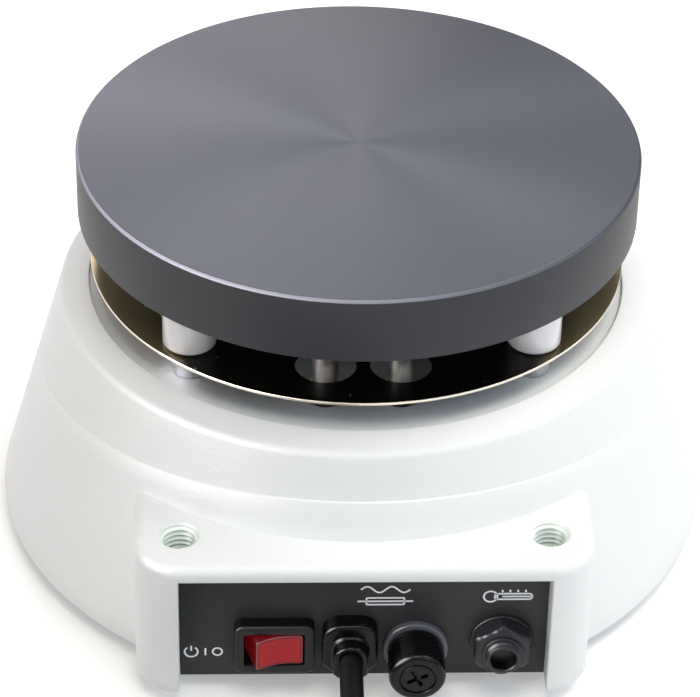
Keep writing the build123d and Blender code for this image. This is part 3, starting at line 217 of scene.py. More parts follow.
# shader maths: a wire is a socket that takes part in sums, and a finish is a material under construction
class Wire:
    def __init__(self, finish, socket):
        self.finish, self.socket = finish, socket

    def sum(self, operation, a, b):
        return self.finish.add("ShaderNodeMath", {"operation": operation}, {0: a, 1: b})

    def __add__(self, other):
        return self.sum("ADD", self, other)

    def __radd__(self, other):
        return self.sum("ADD", other, self)

    def __sub__(self, other):
        return self.sum("SUBTRACT", self, other)

    def __rsub__(self, other):
        return self.sum("SUBTRACT", other, self)

    def __mul__(self, other):
        return self.sum("MULTIPLY", self, other)

    def __rmul__(self, other):
        return self.sum("MULTIPLY", other, self)

    def __pow__(self, other):
        return self.sum("POWER", self, other)

    def smooth(self, start, end):
        # 0 before start, 1 after end, eased between
        return self.finish.add(
            "ShaderNodeMapRange", {"interpolation_type": "SMOOTHSTEP"},
            {0: self, 1: start, 2: end, 3: 0.0, 4: 1.0},
        )


def screen(red, green, blue):
    # a colour given as it looks on a screen, 0 to 255, becomes the linear colour that a socket takes
    c = np.array([red, green, blue]) / 255
    linear = np.where(c <= 0.04045, c / 12.92, ((c + 0.055) / 1.055) ** 2.4)
    return (*map(float, linear), 1.0)


class Finish:
    def __init__(self, name):
        self.material = bpy.data.materials.new(name)
        self.material.use_nodes = True
        self.tree = self.material.node_tree
        self.tree.nodes.clear()
        self.place = self.add("ShaderNodeTexCoord", out="Object")

    def add(self, kind, settings=None, sockets=None, out=0):
        node = self.tree.nodes.new(kind)
        for key, value in (settings or {}).items():
            setattr(node, key, value)
        for key, value in (sockets or {}).items():
            if isinstance(value, Wire):
                self.tree.links.new(value.socket, node.inputs[key])
            else:
                node.inputs[key].default_value = value
        return Wire(self, node.outputs[out]) if len(node.outputs) else None

    def noise(self, scale, detail=3.0, roughness=0.55, stretch=None):
        # cloudy noise; scale is features per metre, stretch squeezes it along each axis
        where = self.place
        if stretch:
            where = self.add("ShaderNodeMapping", {}, {0: where, 3: stretch})
        sockets = {"Vector": where, "Scale": scale, "Detail": detail, "Roughness": roughness}
        return self.add("ShaderNodeTexNoise", {}, sockets)

    def axis(self, index, centre=(0, 0, 0)):
        # one coordinate of the point in millimetres, counted from a centre in millimetres
        parts = self.add("ShaderNodeSeparateXYZ", {}, {0: self.place}, index)
        return parts * 1000.0 - float(centre[index])

    def radius(self, centre=(0, 0, 0), along=2):
        # distance from an axis in millimetres
        first, second = [self.axis(i, centre) for i in range(3) if i != along]
        return (first * first + second * second) ** 0.5

    def blend(self, mask, first, second):
        return self.add("ShaderNodeMix", {"data_type": "RGBA"}, {0: mask, 6: first, 7: second}, 2)

    def relief(self, height, distance, strength):
        # height is 0 to 1, distance is how high 1 stands, in millimetres
        sockets = {"Strength": strength, "Distance": distance * mm, "Height": height}
        return self.add("ShaderNodeBump", {}, sockets)

    def surface(self, **values):
        # the principled shader with its named sockets, joined to the output
        sockets = {key.replace("_", " "): value for key, value in values.items()}
        shader = self.add("ShaderNodeBsdfPrincipled", {}, sockets)
        self.add("ShaderNodeOutputMaterial", {}, {0: shader})
        return self.material


print("shader tools ready")

# the camera: a long lens from behind and above, its place in millimetres and its turns in degrees
camera = {
    "target": (1.161, 0.0, 45.965),
    "distance": 878.53,
    "elevation": 35.246,
    "azimuth": 2.504,
    "roll": 1.285,
    "lens": 157.29,
    "sensor": 36,
    "clip": (0.05, 20),
}
up, around, lean = (np.radians(camera[k]) for k in ("elevation", "azimuth", "roll"))
gaze = -np.array([np.sin(around) * np.cos(up), np.cos(around) * np.cos(up), np.sin(up)])
level = np.cross(gaze, (0, 0, 1))
level = level / np.linalg.norm(level)
upright = np.cross(level, gaze)
rightward = np.cos(lean) * level + np.sin(lean) * upright
skyward = np.cos(lean) * upright - np.sin(lean) * level
eye = np.array(camera["target"]) - gaze * camera["distance"]
lens = bpy.data.cameras.new("camera")
lens.lens, lens.sensor_width = camera["lens"], camera["sensor"]
lens.clip_start, lens.clip_end = camera["clip"]
viewer = bpy.data.objects.new("camera", lens)
turn = Matrix([[*map(float, row)] for row in np.stack([rightward, skyward, -gaze], 1)])
viewer.matrix_world = Matrix.Translation(Vector([float(x) * mm for x in eye])) @ turn.to_4x4()
scene.collection.objects.link(viewer)
scene.camera = viewer
print("camera set")

# square softboxes round the object, all turned towards its middle; the card only shows as a sheen
lamps = {
    "overhead": {"at": (0, 412, 1080), "size": 550, "power": 4.6, "colour": (1.0, 0.97, 0.84)},
    "coolFront": {"at": (-579, 690, 691), "size": 550, "power": 2.3, "colour": (0.62, 0.8, 1.0)},
    "upperSide": {"at": (-621, -110, 960), "size": 550, "power": 6.0, "colour": (1.0, 0.96, 0.9)},
    "coolSide": {"at": (-997, 0, 525), "size": 550, "power": 0.9, "colour": (0.95, 0.97, 1.0)},
    "warmSide": {"at": (932, -538, 289), "size": 550, "power": 1.8, "colour": (1.0, 0.86, 0.88)},
    "rearHigh": {"at": (0, -778, 838), "size": 550, "power": 2.0, "colour": (0.95, 0.97, 1.0)},
    "rearLow": {"at": (254, -947, 559), "size": 550, "power": 2.5, "colour": (1.0, 0.94, 0.94)},
    "card": {"at": (350, 230, 250), "size": 400, "power": 10.0, "colour": (1.0, 0.96, 0.97)},
    "lowFront": {"at": (560, 820, 260), "size": 400, "power": 0.7, "colour": (1.0, 0.95, 0.9)},
}
room = {
    "aim": (0, 0, 60),  # where the lamps point
    "world": 0.35,
    "glow": (0.3, 0.8),  # the bench's own light, near the object and far away
    "glowRise": (350.0, 1500.0),  # the distances between which it grows
    "floor": 4000,
}
for name, lamp in lamps.items():
    light = bpy.data.lights.new(name, "AREA")
    light.shape = "SQUARE"
    light.size = lamp["size"] * mm
    light.energy, light.color = lamp["power"], lamp["colour"]
    holder = bpy.data.objects.new(name, light)
    holder.location = Vector(lamp["at"]) * mm
    holder.rotation_euler = (Vector(room["aim"]) - Vector(lamp["at"])).to_track_quat("-Z", "Y").to_euler()
    holder.visible_diffuse = name != "card"
    scene.collection.objects.link(holder)

# the world lights the object softly, and the camera sees it as plain white
world = bpy.data.worlds.new("room")
world.use_nodes = True
scene.world = world
tree = world.node_tree
background = tree.nodes["Background"]
background.inputs["Color"].default_value = (1, 1, 1, 1)
background.inputs["Strength"].default_value = room["world"]
backdrop = tree.nodes.new("ShaderNodeBackground")
backdrop.inputs["Color"].default_value = (1, 1, 1, 1)
rays, either = tree.nodes.new("ShaderNodeLightPath"), tree.nodes.new("ShaderNodeMixShader")
tree.links.new(rays.outputs["Is Camera Ray"], either.inputs[0])
tree.links.new(background.outputs[0], either.inputs[1])
tree.links.new(backdrop.outputs[0], either.inputs[2])
tree.links.new(either.outputs[0], tree.nodes["World Output"].inputs["Surface"])
scene.view_settings.view_transform = "Standard"

bench = Finish("benchTop")
sight = bench.add("ShaderNodeLightPath")
outlets = sight.socket.node.outputs
seen = sight + Wire(bench, outlets["Is Glossy Ray"]) + Wire(bench, outlets["Is Transmission Ray"])
ground = bench.add("ShaderNodeBsdfDiffuse", {}, {"Color": (0.8, 0.8, 0.8, 1)})
# a faint glow keeps the bench white: low near the object, so that its shadow stays, and higher far away
near, far = (
    bench.add("ShaderNodeEmission", {}, {"Color": (1, 1, 1, 1), "Strength": strength})
    for strength in room["glow"]
)
glow = bench.add("ShaderNodeMixShader", {}, {0: bench.radius().smooth(*room["glowRise"]), 1: near, 2: far})
nothing = bench.add("ShaderNodeEmission", {}, {"Color": (0, 0, 0, 1), "Strength": 0.0})
lit = bench.add("ShaderNodeMixShader", {}, {0: seen, 1: nothing, 2: glow})
bench.add("ShaderNodeOutputMaterial", {}, {0: bench.add("ShaderNodeAddShader", {}, {0: ground, 1: lit})})
half = room["floor"] / 2
corners = np.array([[[-half, -half, 0], [half, -half, 0]], [[-half, half, 0], [half, half, 0]]], float)
floorMesh = bpy.data.meshes.new("benchTop")
floorMesh.from_pydata([tuple(p) for p in corners.reshape(-1, 3) * mm], [], [(0, 1, 3, 2)])
floor = bpy.data.objects.new("benchTop", floorMesh)
floorMesh.materials.append(bench.material)
scene.collection.objects.link(floor)
scene.view_layers[0].update()
print("lights and bench set")


# the mains cord: out of the grip, down to the bench, and into a tied coil with its plug beside it
cordFacts = {
    "diameter": 6.3,
    "route": [(3.6, 84.1, 17.4), (3.6, 125.8, 17.4), (3.6, 148.3, 3.15), (3.6, 166.0, 3.15)],
    "coilCentre": (50.85, 178.0),
    "outer": 47.25,
    "inner": 28.35,
    "last": 42.2,  # radius where the tail leaves the coil
    "pointsPerTurn": 24,
    "bulge": 0.66,
    "tail": [(66.85, 220.525, 9.45), (84.0, 220.525, 10.6), (101.85, 220.525, 11.0)],
    "length": 1.5,
}
cordWidth = cordFacts["diameter"]
outer, inner = cordFacts["outer"], cordFacts["inner"]
first, second = cordWidth / 2, cordWidth * 1.5  # heights of the two layers
# each leg of the coil is turns, radius at its start and end, and height at its start and end
legs = [
    (3.0, outer, inner, first, first),
    (0.75, inner, inner, first, first),
    (0.25, inner, inner, first, second),
    (2.0, inner, inner + 2 * cordWidth, second, second),
    (0.2, inner + 2 * cordWidth, cordFacts["last"], second, second),
]
cordPoints = [np.array(cordFacts["route"])]
wound = 0.0
for turns, r0, r1, z0, z1 in legs:
    count = int(round(turns * cordFacts["pointsPerTurn"]))
    t = np.arange(count) / count
    angle = np.pi - 2 * np.pi * (wound + t * turns)
    # the points stand a little outside the spiral, because the curve cuts the corners between them
    r = (r0 + (r1 - r0) * t) / np.cos(np.pi / cordFacts["pointsPerTurn"]) ** cordFacts["bulge"]
    rise = z0 + (z1 - z0) * (3 * t**2 - 2 * t**3)
    x, y = cordFacts["coilCentre"]
    cordPoints.append(np.stack([x + r * np.cos(angle), y + r * np.sin(angle), rise], -1))
    wound += turns
cordPoints.append(np.array(cordFacts["tail"]))
cordPoints = np.concatenate(cordPoints)
line = bpy.data.curves.new("mains_cord", "CURVE")
line.dimensions = "3D"
spline = line.splines.new("NURBS")
spline.points.add(len(cordPoints) - 1)
weighted = np.concatenate([cordPoints * mm, np.ones((len(cordPoints), 1))], 1)
spline.points.foreach_set("co", weighted.ravel())
spline.order_u = 3
spline.use_endpoint_u = True
spline.resolution_u = 6
line.bevel_depth = cordWidth / 2 * mm
line.bevel_resolution = 6
line.use_fill_caps = True
mainsCord = bpy.data.objects.new("mains_cord", line)
scene.collection.objects.link(mainsCord)

jacket = Finish("cordJacket")
grain = jacket.noise(900, 3)
line.materials.append(jacket.surface(
    Base_Color=jacket.blend(jacket.noise(60), screen(6, 6, 8), screen(12, 12, 15)),
    Roughness=grain * 0.2 + 0.42,
    Specular_IOR_Level=0.12,
    Normal=jacket.relief(grain, 0.05, 0.4),
))
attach(mainsCord, "base")
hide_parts("power_cord", "cord_coil", "cord_tail")
print("cord laid,", len(cordPoints), "points")


# the housing: a cone with a sloping ledge, a rounded shoulder and a sunk deck, a rear box and a console
housing = {
    "rim": 5.0,
    "baseRadius": 101.65,
    "taper": 0.2841,
    "ledge": 39.9,  # above the rim, at both sides
    "ledgeSlope": 0.151,
    "ledgeProud": 0.6,
    "ledgeSoftness": 0.28,
    "shoulderEdge": 65.5,  # above the rim
    "shoulderRound": 3.0,
    "shoulderRadius": 75.5,
    "shoulderTop": 72.9,
    "deck": 71.9,
    "deckRadius": 75.0,
    "deckUnder": 69.4,
    "well": 41.0,
    "wall": 2.5,
    "tubeAt": (10.0, 56.9),
    "tubeHole": 6.9,
    "innerWall": 3.1,
    "innerRound": 5.0,
    "innerTop": 46.0,
    "innerRows": 8,
    "footEdge": 0.3,
    "columns": 288,
    "lowerRows": 11,
    "upperRows": 8,
    "upperTo": 58.0,
    "deckRows": (70, 44, 18),  # first radius, last radius and how many
    "holeRows": (67, 48.8),  # radii between which the tube holes are cut
    "holeColumns": 7,  # to each side of a hole's middle
}
rearBox = {
    "halfWidth": 61.0,
    "front": 101.5,
    "corner": 13.0,
    "top": 47.4,
    "round": 3.0,
    "bury": 2.0,
    "opening": 49.07,
    "lip": 42.8,
    "edge": 0.5,
    "panelFace": 94.3,
    "reveal": 98.0,
    "sockets": (49.07, 86.8),
    "socketRadius": 5.0,
    "mouth": 5.7,
    "socketDepth": 20.0,
    "socketPatch": (7.7, 4, 17),  # half its width, its first and its last row
    "soleFrom": 90.0,
    "overlap": 1.2,  # how much of the cone stays inside the box's top
    "frontColumns": (46.4, 44.8, 43.2, 41.6, 38, 32, 26, 20, 14, 7),
}
console = {
    "halfWidth": 58.0,
    "front": 103.5,
    "corner": 10.0,
    "top": 52.0,
    "round": 3.0,
    "sill": 11.0,
    "slope": 19.0,
    "bury": 6.0,
    "overlap": 2.5,
    "frontColumns": (40, 30, 20, 10),
}
console["lean"] = np.tan(np.radians(console["slope"]))
rim = housing["rim"]
sideSteps, arcSteps = 20, 12  # of a block's outline: along a side, and round a corner


def coneRadius(z):
    return housing["baseRadius"] - housing["taper"] * (z - rim)


def coneSheet():
    # rows climb the outside, cross the shoulder and the deck, and come down the inner wall; the radius falls
    # evenly with height, and below the ledge it gains a little on the rear side only
    angle = np.arange(housing["columns"]) * 2 * np.pi / housing["columns"]
    ones = np.ones_like(angle)
    proud = housing["ledgeProud"] * np.clip(np.sin(angle), 0, 1)
    slope = housing["ledgeSlope"] * np.sin(angle)
    ledge = (housing["ledge"] + slope * housing["baseRadius"]) / (1 + slope * housing["taper"]) + rim
    soft = np.minimum(housing["ledgeSoftness"], proud * 0.45)
    # a rounded edge is three points: full inset, 0.3 of it in both directions, and none
    foot = housing["footEdge"]
    rows = [
        (coneRadius(rim) - foot + proud, rim * ones),
        (coneRadius(rim) - 0.3 * foot + proud, (rim + 0.3 * foot) * ones),
    ]
    for t in np.linspace(0, 1, housing["lowerRows"]):
        z = rim + foot + t * (ledge - soft - rim - foot)
        rows.append((coneRadius(z) + proud, z))
    rows.append((coneRadius(ledge) + proud - 0.3 * soft, ledge - 0.3 * soft))
    rows.append((coneRadius(ledge) + proud - soft, ledge))
    start = rim + housing["upperTo"]
    for t in np.linspace(0, 1, housing["upperRows"]):
        z = ledge + 0.02 + t * (start - ledge)
        rows.append((coneRadius(z), z))
    edge = rim + housing["shoulderEdge"]
    profile = rounded([
        (coneRadius(start + 1), start + 1, 0),
        (coneRadius(edge), edge, housing["shoulderRound"]),
        (housing["shoulderRadius"], housing["shoulderTop"], 0.3),
        (housing["deckRadius"], housing["shoulderTop"] - 0.02, 0.2),
        (housing["deckRadius"], housing["deck"], 0.15),
        (housing["deckRadius"] - 1, housing["deck"], 0),
    ])
    deckStart = len(rows) + len(profile)
    rows += [(r * ones, z * ones) for r, z in profile]
    rows += [(r * ones, housing["deck"] * ones) for r in np.linspace(*housing["deckRows"])]
    under, thick = housing["deckUnder"], housing["innerWall"]
    inner = rounded([
        (housing["deckRows"][1] - 1, housing["deck"], 0),
        (housing["well"], housing["deck"], 0.4),
        (housing["well"], under, 0),
        (coneRadius(under) - thick, under, housing["innerRound"]),
        *[(coneRadius(z) - thick, z, 0) for z in np.linspace(housing["innerTop"], rim, housing["innerRows"])],
    ])
    rows += [(r * ones, z * ones) for r, z in inner]
    rows.append(rows[0])
    radius, z = (np.stack([row[i] for row in rows]) for i in (0, 1))
    return np.stack([radius * np.cos(angle), radius * np.sin(angle), z], -1), deckStart


def tubeColumns(side, columns, reach):
    # the columns of a round sheet that stand round one lead tube
    across, distance = housing["tubeAt"]
    middleColumn = int(round(np.degrees(np.arctan2(distance, side * across)) / 360 * columns))
    return middleColumn - reach, middleColumn + reach


def coneSkin():
    # the cone without the quads that the rear box and the console hide, and with its two tube holes
    points, deckStart = coneSheet()
    x, y, z = points[..., 0], points[..., 1], points[..., 2]
    keep = np.ones((len(points) - 1, points.shape[1]), bool)
    for block, forward in ((rearBox, 1), (console, -1)):
        hidden = (np.abs(x) < block["halfWidth"] - 1) & (y * forward > 0)
        hidden &= z < block["top"] - block["overlap"]
        ahead = np.roll(hidden, -1, 1)
        keep &= ~(hidden[:-1] & hidden[1:] & ahead[:-1] & ahead[1:])
    deckRadii = np.hypot(x, y)[deckStart:deckStart + housing["deckRows"][2], 0]
    i0, i1 = (deckStart + int(np.argmin(np.abs(deckRadii - radius))) for radius in housing["holeRows"])
    across, distance = housing["tubeAt"]
    hole = housing["tubeHole"]
    cells = [
        (i0, i1, *tubeColumns(side, housing["columns"], housing["holeColumns"]),
         (side * across, distance, housing["deck"]), hole)
        for side in (1, -1)
    ]
    patches, rings = cutSheet(points, cells, True, keep)
    depth = housing["deck"] - housing["deckUnder"]
    for ring, cell in zip(rings, cells):
        patches.append(bored(ring, cell[4], [(hole - 0.06, 0.06), (hole - 0.1, 0.25), (hole - 0.1, depth)]))
    return patches


def blockOutline(block, inset, z):
    # half of it is a straight side that starts inside the cone, a quarter turn and half the front
    front = block["front"] - block.get("lean", 0) * max(z - block.get("sill", z), 0) - inset
    side = block["halfWidth"] - inset
    corner = block["corner"] - inset
    # near the rim the side starts inside the cone's wall, where the hollow would show more of it
    bury = block["bury"] if z > rim + 4 else min(block["bury"], housing["wall"] + 1.5)
    root = np.sqrt(coneRadius(z) ** 2 - side**2) - bury
    flank = np.linspace(root, front - corner, sideSteps + 1)[:-1]
    a = np.linspace(0, np.pi / 2, arcSteps + 1)
    if "opening" in block:
        # one more point where the opening's edge starts
        reach = block["opening"] + block["edge"] - block["halfWidth"] + block["corner"]
        a = np.sort(np.append(a, np.arccos(reach / block["corner"])))
    xs = np.array([*block["frontColumns"], 0.0])
    xs = xs / (block["halfWidth"] - block["corner"]) * (side - corner)
    right = np.concatenate([
        np.stack([np.full(sideSteps, side), flank], -1),
        np.stack([side - corner + corner * np.cos(a), front - corner + corner * np.sin(a)], -1),
        np.stack([xs, np.full(len(xs), front)], -1),
    ])
    left = right[-2::-1] * (-1, 1)
    return np.concatenate([right, left])


def blockSkin(block, forward, opening=False):
    # outlines stacked from the inner wall under the rim, up the outside and over the rounded top edge
    soft = np.linspace(0, np.pi / 2, 7)
    wallTop = block["top"] - block["round"]
    # the sole stays a hair above the cone's, which it overlaps where the walls meet
    sole = rim + 0.02
    foot, wall = housing["footEdge"], housing["wall"]
    under = [(wall, rim + 3), (wall, sole), (foot, sole), (0.3 * foot, rim + 0.3 * foot)]
    heights = [rim + foot, *np.linspace(rim + 3, min(block.get("lip", wallTop), wallTop) - 1.5, 8)]
    heights += [block["lip"] + block["edge"]] if opening else [block["sill"]]
    levels = under + [(0.0, z) for z in sorted(set(heights))]
    levels += [(block["round"] * (1 - np.cos(t)), wallTop + block["round"] * np.sin(t)) for t in soft]
    outlines = np.stack([blockOutline(block, inset, z) for inset, z in levels])
    height = np.array([z for inset, z in levels])[:, None, None] * np.ones((1, outlines.shape[1], 1))
    points = np.concatenate([outlines, height], -1)
    points[..., 1] *= forward
    keep = np.ones((points.shape[0] - 1, points.shape[1] - 1), bool)
    patches = []
    if opening:
        lipRow, sillRow = len(levels) - len(soft) - 1, len(under)
        half = points.shape[1] // 2
        first = int(np.argmin(np.abs(points[lipRow, :half, 0] - block["opening"] - block["edge"])))
        last = points.shape[1] - 1 - first
        keep[:lipRow, first:last] = False
        # a strip folds over the opening's edge and runs back to the panel
        path = np.concatenate([
            points[sillRow:lipRow, first], points[lipRow, first:last + 1], points[sillRow:lipRow, last][::-1]
        ])
        count = lipRow - sillRow
        inward = np.zeros_like(path)
        inward[:count + 1, 0], inward[-count - 1:, 0] = -1, 1
        inward[count:len(path) - count, 2] = -1
        sheets = []
        for t in np.linspace(0, np.pi / 2, 5):
            sheets.append(path + inward * block["edge"] * np.sin(t) - [0, block["edge"] * (1 - np.cos(t)), 0])
        for y in (block["reveal"], block["panelFace"] - 0.3):
            sheets.append(sheets[4] * [1, 0, 1] + [0, y, 0])
        patches.append(grid(np.stack(sheets)))
        # the soles of the two pillars beside the opening, inside the block's rounded corners
        corner = block["corner"]
        xs = np.linspace(block["opening"], block["halfWidth"] - 0.2, 16)
        aside = np.clip(xs - (block["halfWidth"] - corner), 0, corner)
        far = block["front"] - corner + np.sqrt(corner**2 - aside**2) - 0.2
        k = np.linspace(0, 1, 5)[:, None]
        ys = block["soleFrom"] * (1 - k) + far * k
        for side in (1, -1):
            sheet = [side * xs * np.ones_like(ys), ys, np.full_like(ys, rim + 0.25)]
            patches.append(grid(np.stack(sheet, -1)))
    patches.append(grid(points, keep=keep))
    return patches, points


def blockTop(block, forward, outline, holes=()):
    # the flat top: each column runs from inside the cone out to the rounded edge
    half = len(outline) // 2
    right = outline[sideSteps:half + 1]
    front = np.concatenate([right, right[-2::-1] * (-1, 1, 1)])
    reach = coneRadius(block["top"])
    root = np.sqrt(reach**2 - front[:, 0] ** 2) - block["bury"]
    k = np.linspace(0, 1, sideSteps + 1)[None, :]
    ys = root[:, None] * (1 - k) + np.abs(front[:, 1])[:, None] * k
    points = np.stack([front[:, :1] * np.ones_like(k), ys * forward, np.full_like(ys, block["top"])], -1)
    cells = []
    for x, y, radius in holes:
        reach, nearest, farthest = block["socketPatch"]
        columns = np.flatnonzero(np.abs(front[:, 0] - x) < reach)
        cells.append((columns[0], columns[-1], nearest, farthest, (x, y, block["top"]), radius))
    return cutSheet(points, cells)


def buildHousing(finish):
    # the cone, the rear box with its two sockets, and the console, as one shell
    patches = coneSkin()
    skin, points = blockSkin(rearBox, 1, opening=True)
    patches += skin
    x, y = rearBox["sockets"]
    mouth, radius, depth = (rearBox[key] for key in ("mouth", "socketRadius", "socketDepth"))
    holes = [(side * x, y, mouth) for side in (1, -1)]
    top, rings = blockTop(rearBox, 1, points[-1], holes)
    patches += top
    steps = [(mouth - 0.05, 0.02), (radius, mouth - radius), (radius, depth), (0.001, depth)]
    for ring, hole in zip(rings, holes):
        patches.append(bored(ring, (*hole[:2], rearBox["top"]), steps))
    skin, points = blockSkin(console, -1)
    patches += skin + blockTop(console, -1, points[-1])[0]
    return makePiece("housing_shell", patches, finish, "base", ("housing",),
                     sharp=38, weld=0.002)


# the thread in the two sockets, cut to its depth over a short run-in below the mouth
thread = {
    "pitch": 1.5,
    "turns": 12,
    "depth": 0.72,
    "runIn": 0.9,
    "below": 0.7,
    "gap": 0.02,
    "columns": 64,
    "rowsPerTurn": 10,
}


def threadSleeve(centre, top):
    # the radius follows a flattened wave of (height / pitch - share of the turn), so it climbs as a helix
    u = np.arange(thread["columns"]) / thread["columns"]
    z = np.arange(thread["turns"] * thread["rowsPerTurn"] + 1) / thread["rowsPerTurn"] * thread["pitch"]
    phase = z[:, None] / thread["pitch"] - u[None, :]
    wave = np.clip(1.6 * (np.abs(2 * (phase % 1) - 1) - 0.5) + 0.5, 0, 1)
    fade = np.clip(z / thread["runIn"], 0, 1)[:, None]
    radius = rearBox["socketRadius"] - thread["gap"] - thread["depth"] * wave * fade
    a = 2 * np.pi * u
    points = np.stack([centre[0] + radius * np.cos(a), centre[1] + radius * np.sin(a),
                       (top - z)[:, None] * np.ones_like(radius)], -1)
    floorRow = points[-1:] * 0 + [centre[0], centre[1], top - z[-1]]
    back = points[:1].copy()
    back[..., :2] = np.array(centre) + (points[:1, :, :2] - centre) * 1.002
    return grid(np.concatenate([back, points, floorRow]), wrapColumns=True)


def powderCoat():
    # fine leathery powder coat: small rounded grains over slow waves
    finish = Finish("powderCoat")
    grains = finish.noise(1150, 2.0, 0.6)
    waves = finish.noise(260, 2.0)
    slow = finish.noise(14, 1.0)
    height = grains * 0.75 + waves * 0.35
    return finish.surface(
        Base_Color=finish.blend(slow, screen(228, 230, 230), screen(233, 235, 237)),
        Roughness=grains * 0.12 + 0.42,
        Specular_IOR_Level=0.35,
        Normal=finish.relief(height, 0.14, 0.8),
    )


def bareAluminium():
    finish = Finish("bareAluminium")
    streaks = finish.noise(500, 3, 0.6)
    return finish.surface(
        Base_Color=finish.blend(streaks, screen(226, 235, 229), screen(240, 246, 241)),
        Metallic=0.0,
        Roughness=streaks * 0.2 + 0.3,
        Normal=finish.relief(streaks, 0.03, 0.5),
    )


housingPiece = buildHousing(powderCoat())
print("housing", len(housingPiece.data.polygons), "faces")
x, y = rearBox["sockets"]
threads = [threadSleeve((side * x, y), rearBox["top"] - thread["below"]) for side in (1, -1)]
threadPiece = makePiece("socket_threads", threads, bareAluminium(), sharp=30)
print("threads", len(threadPiece.data.polygons), "faces")


# plain finishes that differ in colour, grain and gloss only
def moulded(name, dark, light, gloss=0.4, scale=700, depth=0.04, coat=0.0, cloud=40, shine=0.5):
    finish = Finish(name)
    grain = finish.noise(scale, 3)
    return finish.surface(
        Base_Color=finish.blend(finish.noise(cloud, 2), screen(*dark), screen(*light)),
        Roughness=grain * 0.16 + (gloss - 0.08),
        Specular_IOR_Level=shine,
        Coat_Weight=coat,
        Coat_Roughness=0.12,
        Normal=finish.relief(grain, depth, 0.5),
    )


def metal(name, dark, light, gloss=0.35, stretch=(1, 1, 1), scale=600, depth=0.015):
    # stretch below 1 along an axis draws the grain out along that axis
    finish = Finish(name)
    grain = finish.noise(scale, 4, 0.6, stretch)
    return finish.surface(
        Base_Color=finish.blend(grain, screen(*dark), screen(*light)),
        Metallic=1.0,
        Roughness=grain * 0.25 + (gloss - 0.12),
        Normal=finish.relief(grain, depth, 0.5),
    )


# the plate: turned from thick aluminium, with a dark hard coat
plate = {"chamfer": 0.8, "underChamfer": 0.4, "pocket": 56.0, "groovesPerMm": 3.1, "steps": 360}
lowest, highest = low("heating_plate"), high("heating_plate")
plateRadius = (highest[0] - lowest[0]) / 2


def plateFinish():
    # fine turning marks on the top; the rim is plainer, and the chamfer is painted brighter: a bare machined
    # edge, with a painted highlight along it
    finish = Finish("turnedPlate")
    radius = finish.radius()
    grooves = finish.add(
        "ShaderNodeTexNoise", {"noise_dimensions": "1D"},
        {"W": radius * plate["groovesPerMm"], "Scale": 1.0, "Detail": 3.0},
    )
    speckle = finish.noise(1500, 2, 0.6)
    haze = finish.noise(22, 2)
    rimMask = radius.smooth(plateRadius - 0.4, plateRadius - 0.1)
    onChamfer = finish.axis(2, highest).smooth(-0.85, -0.7)
    # painted highlight: the chamfer's colour is lighter, for its bare metal and for the highlight that runs
    # along it
    bareEdgeHighlight = radius.smooth(plateRadius - 0.9, plateRadius - 0.75) * onChamfer
    base = finish.blend(haze * 0.6 + grooves * 0.4, screen(76, 78, 86), screen(86, 88, 97))
    grained = finish.blend(speckle.smooth(0.55, 0.8) * 0.4, base, screen(112, 114, 124))
    sided = finish.blend(rimMask, grained, screen(27, 29, 38))
    return finish.surface(
        Base_Color=finish.blend(bareEdgeHighlight, sided, screen(86, 87, 96)),
        Metallic=0.55 - rimMask * 0.45 + bareEdgeHighlight * 0.2,
        Roughness=speckle * 0.14 + 0.4 - rimMask * 0.08,
        Anisotropic=0.75,
        Normal=finish.relief(grooves * 0.7 + speckle * 0.3, 0.02, 0.35),
    )


pocketTop = high("heating_element")[2]
plateProfile = rounded([
    (0, pocketTop, 0),
    (plate["pocket"], pocketTop, 0.3),
    (plate["pocket"], lowest[2], 0.3),
    (plateRadius - plate["underChamfer"], lowest[2], 0.1),
    (plateRadius, lowest[2] + plate["underChamfer"], 0.2),
    (plateRadius, highest[2] - plate["chamfer"], 0.3),
    (plateRadius - plate["chamfer"], highest[2], 0.3),
    (0, highest[2], 0),
], 4)
platePiece = makePiece("plate_top", [turned(plateProfile, steps=plate["steps"])], plateFinish(), "base",
                       ("heating_plate",), sharp=40)
print("plate", len(platePiece.data.polygons), "faces")

# the heat shield: a thin dark disc with a bare cut edge and two wide holes for the lead tubes
shield = {
    "hole": 8.25,
    "edge": 0.12,
    "columns": 288,
    "innerRows": (0.01, 20, 40),
    "holeRows": (47.5, 68.5, 15),
    "outerRow": 72,
    "holeColumns": 8,
}
shieldLow, shieldHigh = low("heat_shield"), high("heat_shield")
shieldRadius = (shieldHigh[0] - shieldLow[0]) / 2


def shieldFinish():
    # dark rolled sheet with dust, a painted reflection in straw colours at both sides, and a bright cut edge
    finish = Finish("heatShield")
    radius = finish.radius()
    rimMask = (radius - (shieldRadius - 0.1)).smooth(-0.05, 0.02)
    rolled = finish.noise(120, 3, 0.6, (1, 0.15, 1))
    dust = finish.noise(420, 1).smooth(0.76, 0.8)
    aside = finish.axis(0)
    # painted reflection: the straw colour at both sides stands in for the bright room seen mirrored under the
    # plate
    sideReflection = (aside * aside + rolled * 500.0).smooth(2100.0, 3900.0)
    plain = finish.blend(rolled, screen(14, 13, 10), screen(27, 25, 19))
    dark = finish.blend(sideReflection, plain, finish.blend(rolled, screen(126, 114, 82), screen(166, 153, 118)))
    dusty = finish.blend(dust, dark, screen(120, 118, 110))
    return finish.surface(
        Base_Color=finish.blend(rimMask, dusty, screen(226, 218, 204)),
        Metallic=rimMask * 0.2 + 0.75,
        Roughness=rolled * 0.1 + dust * 0.4 + 0.2,
        Normal=finish.relief(rolled, 0.02, 0.3),
    )


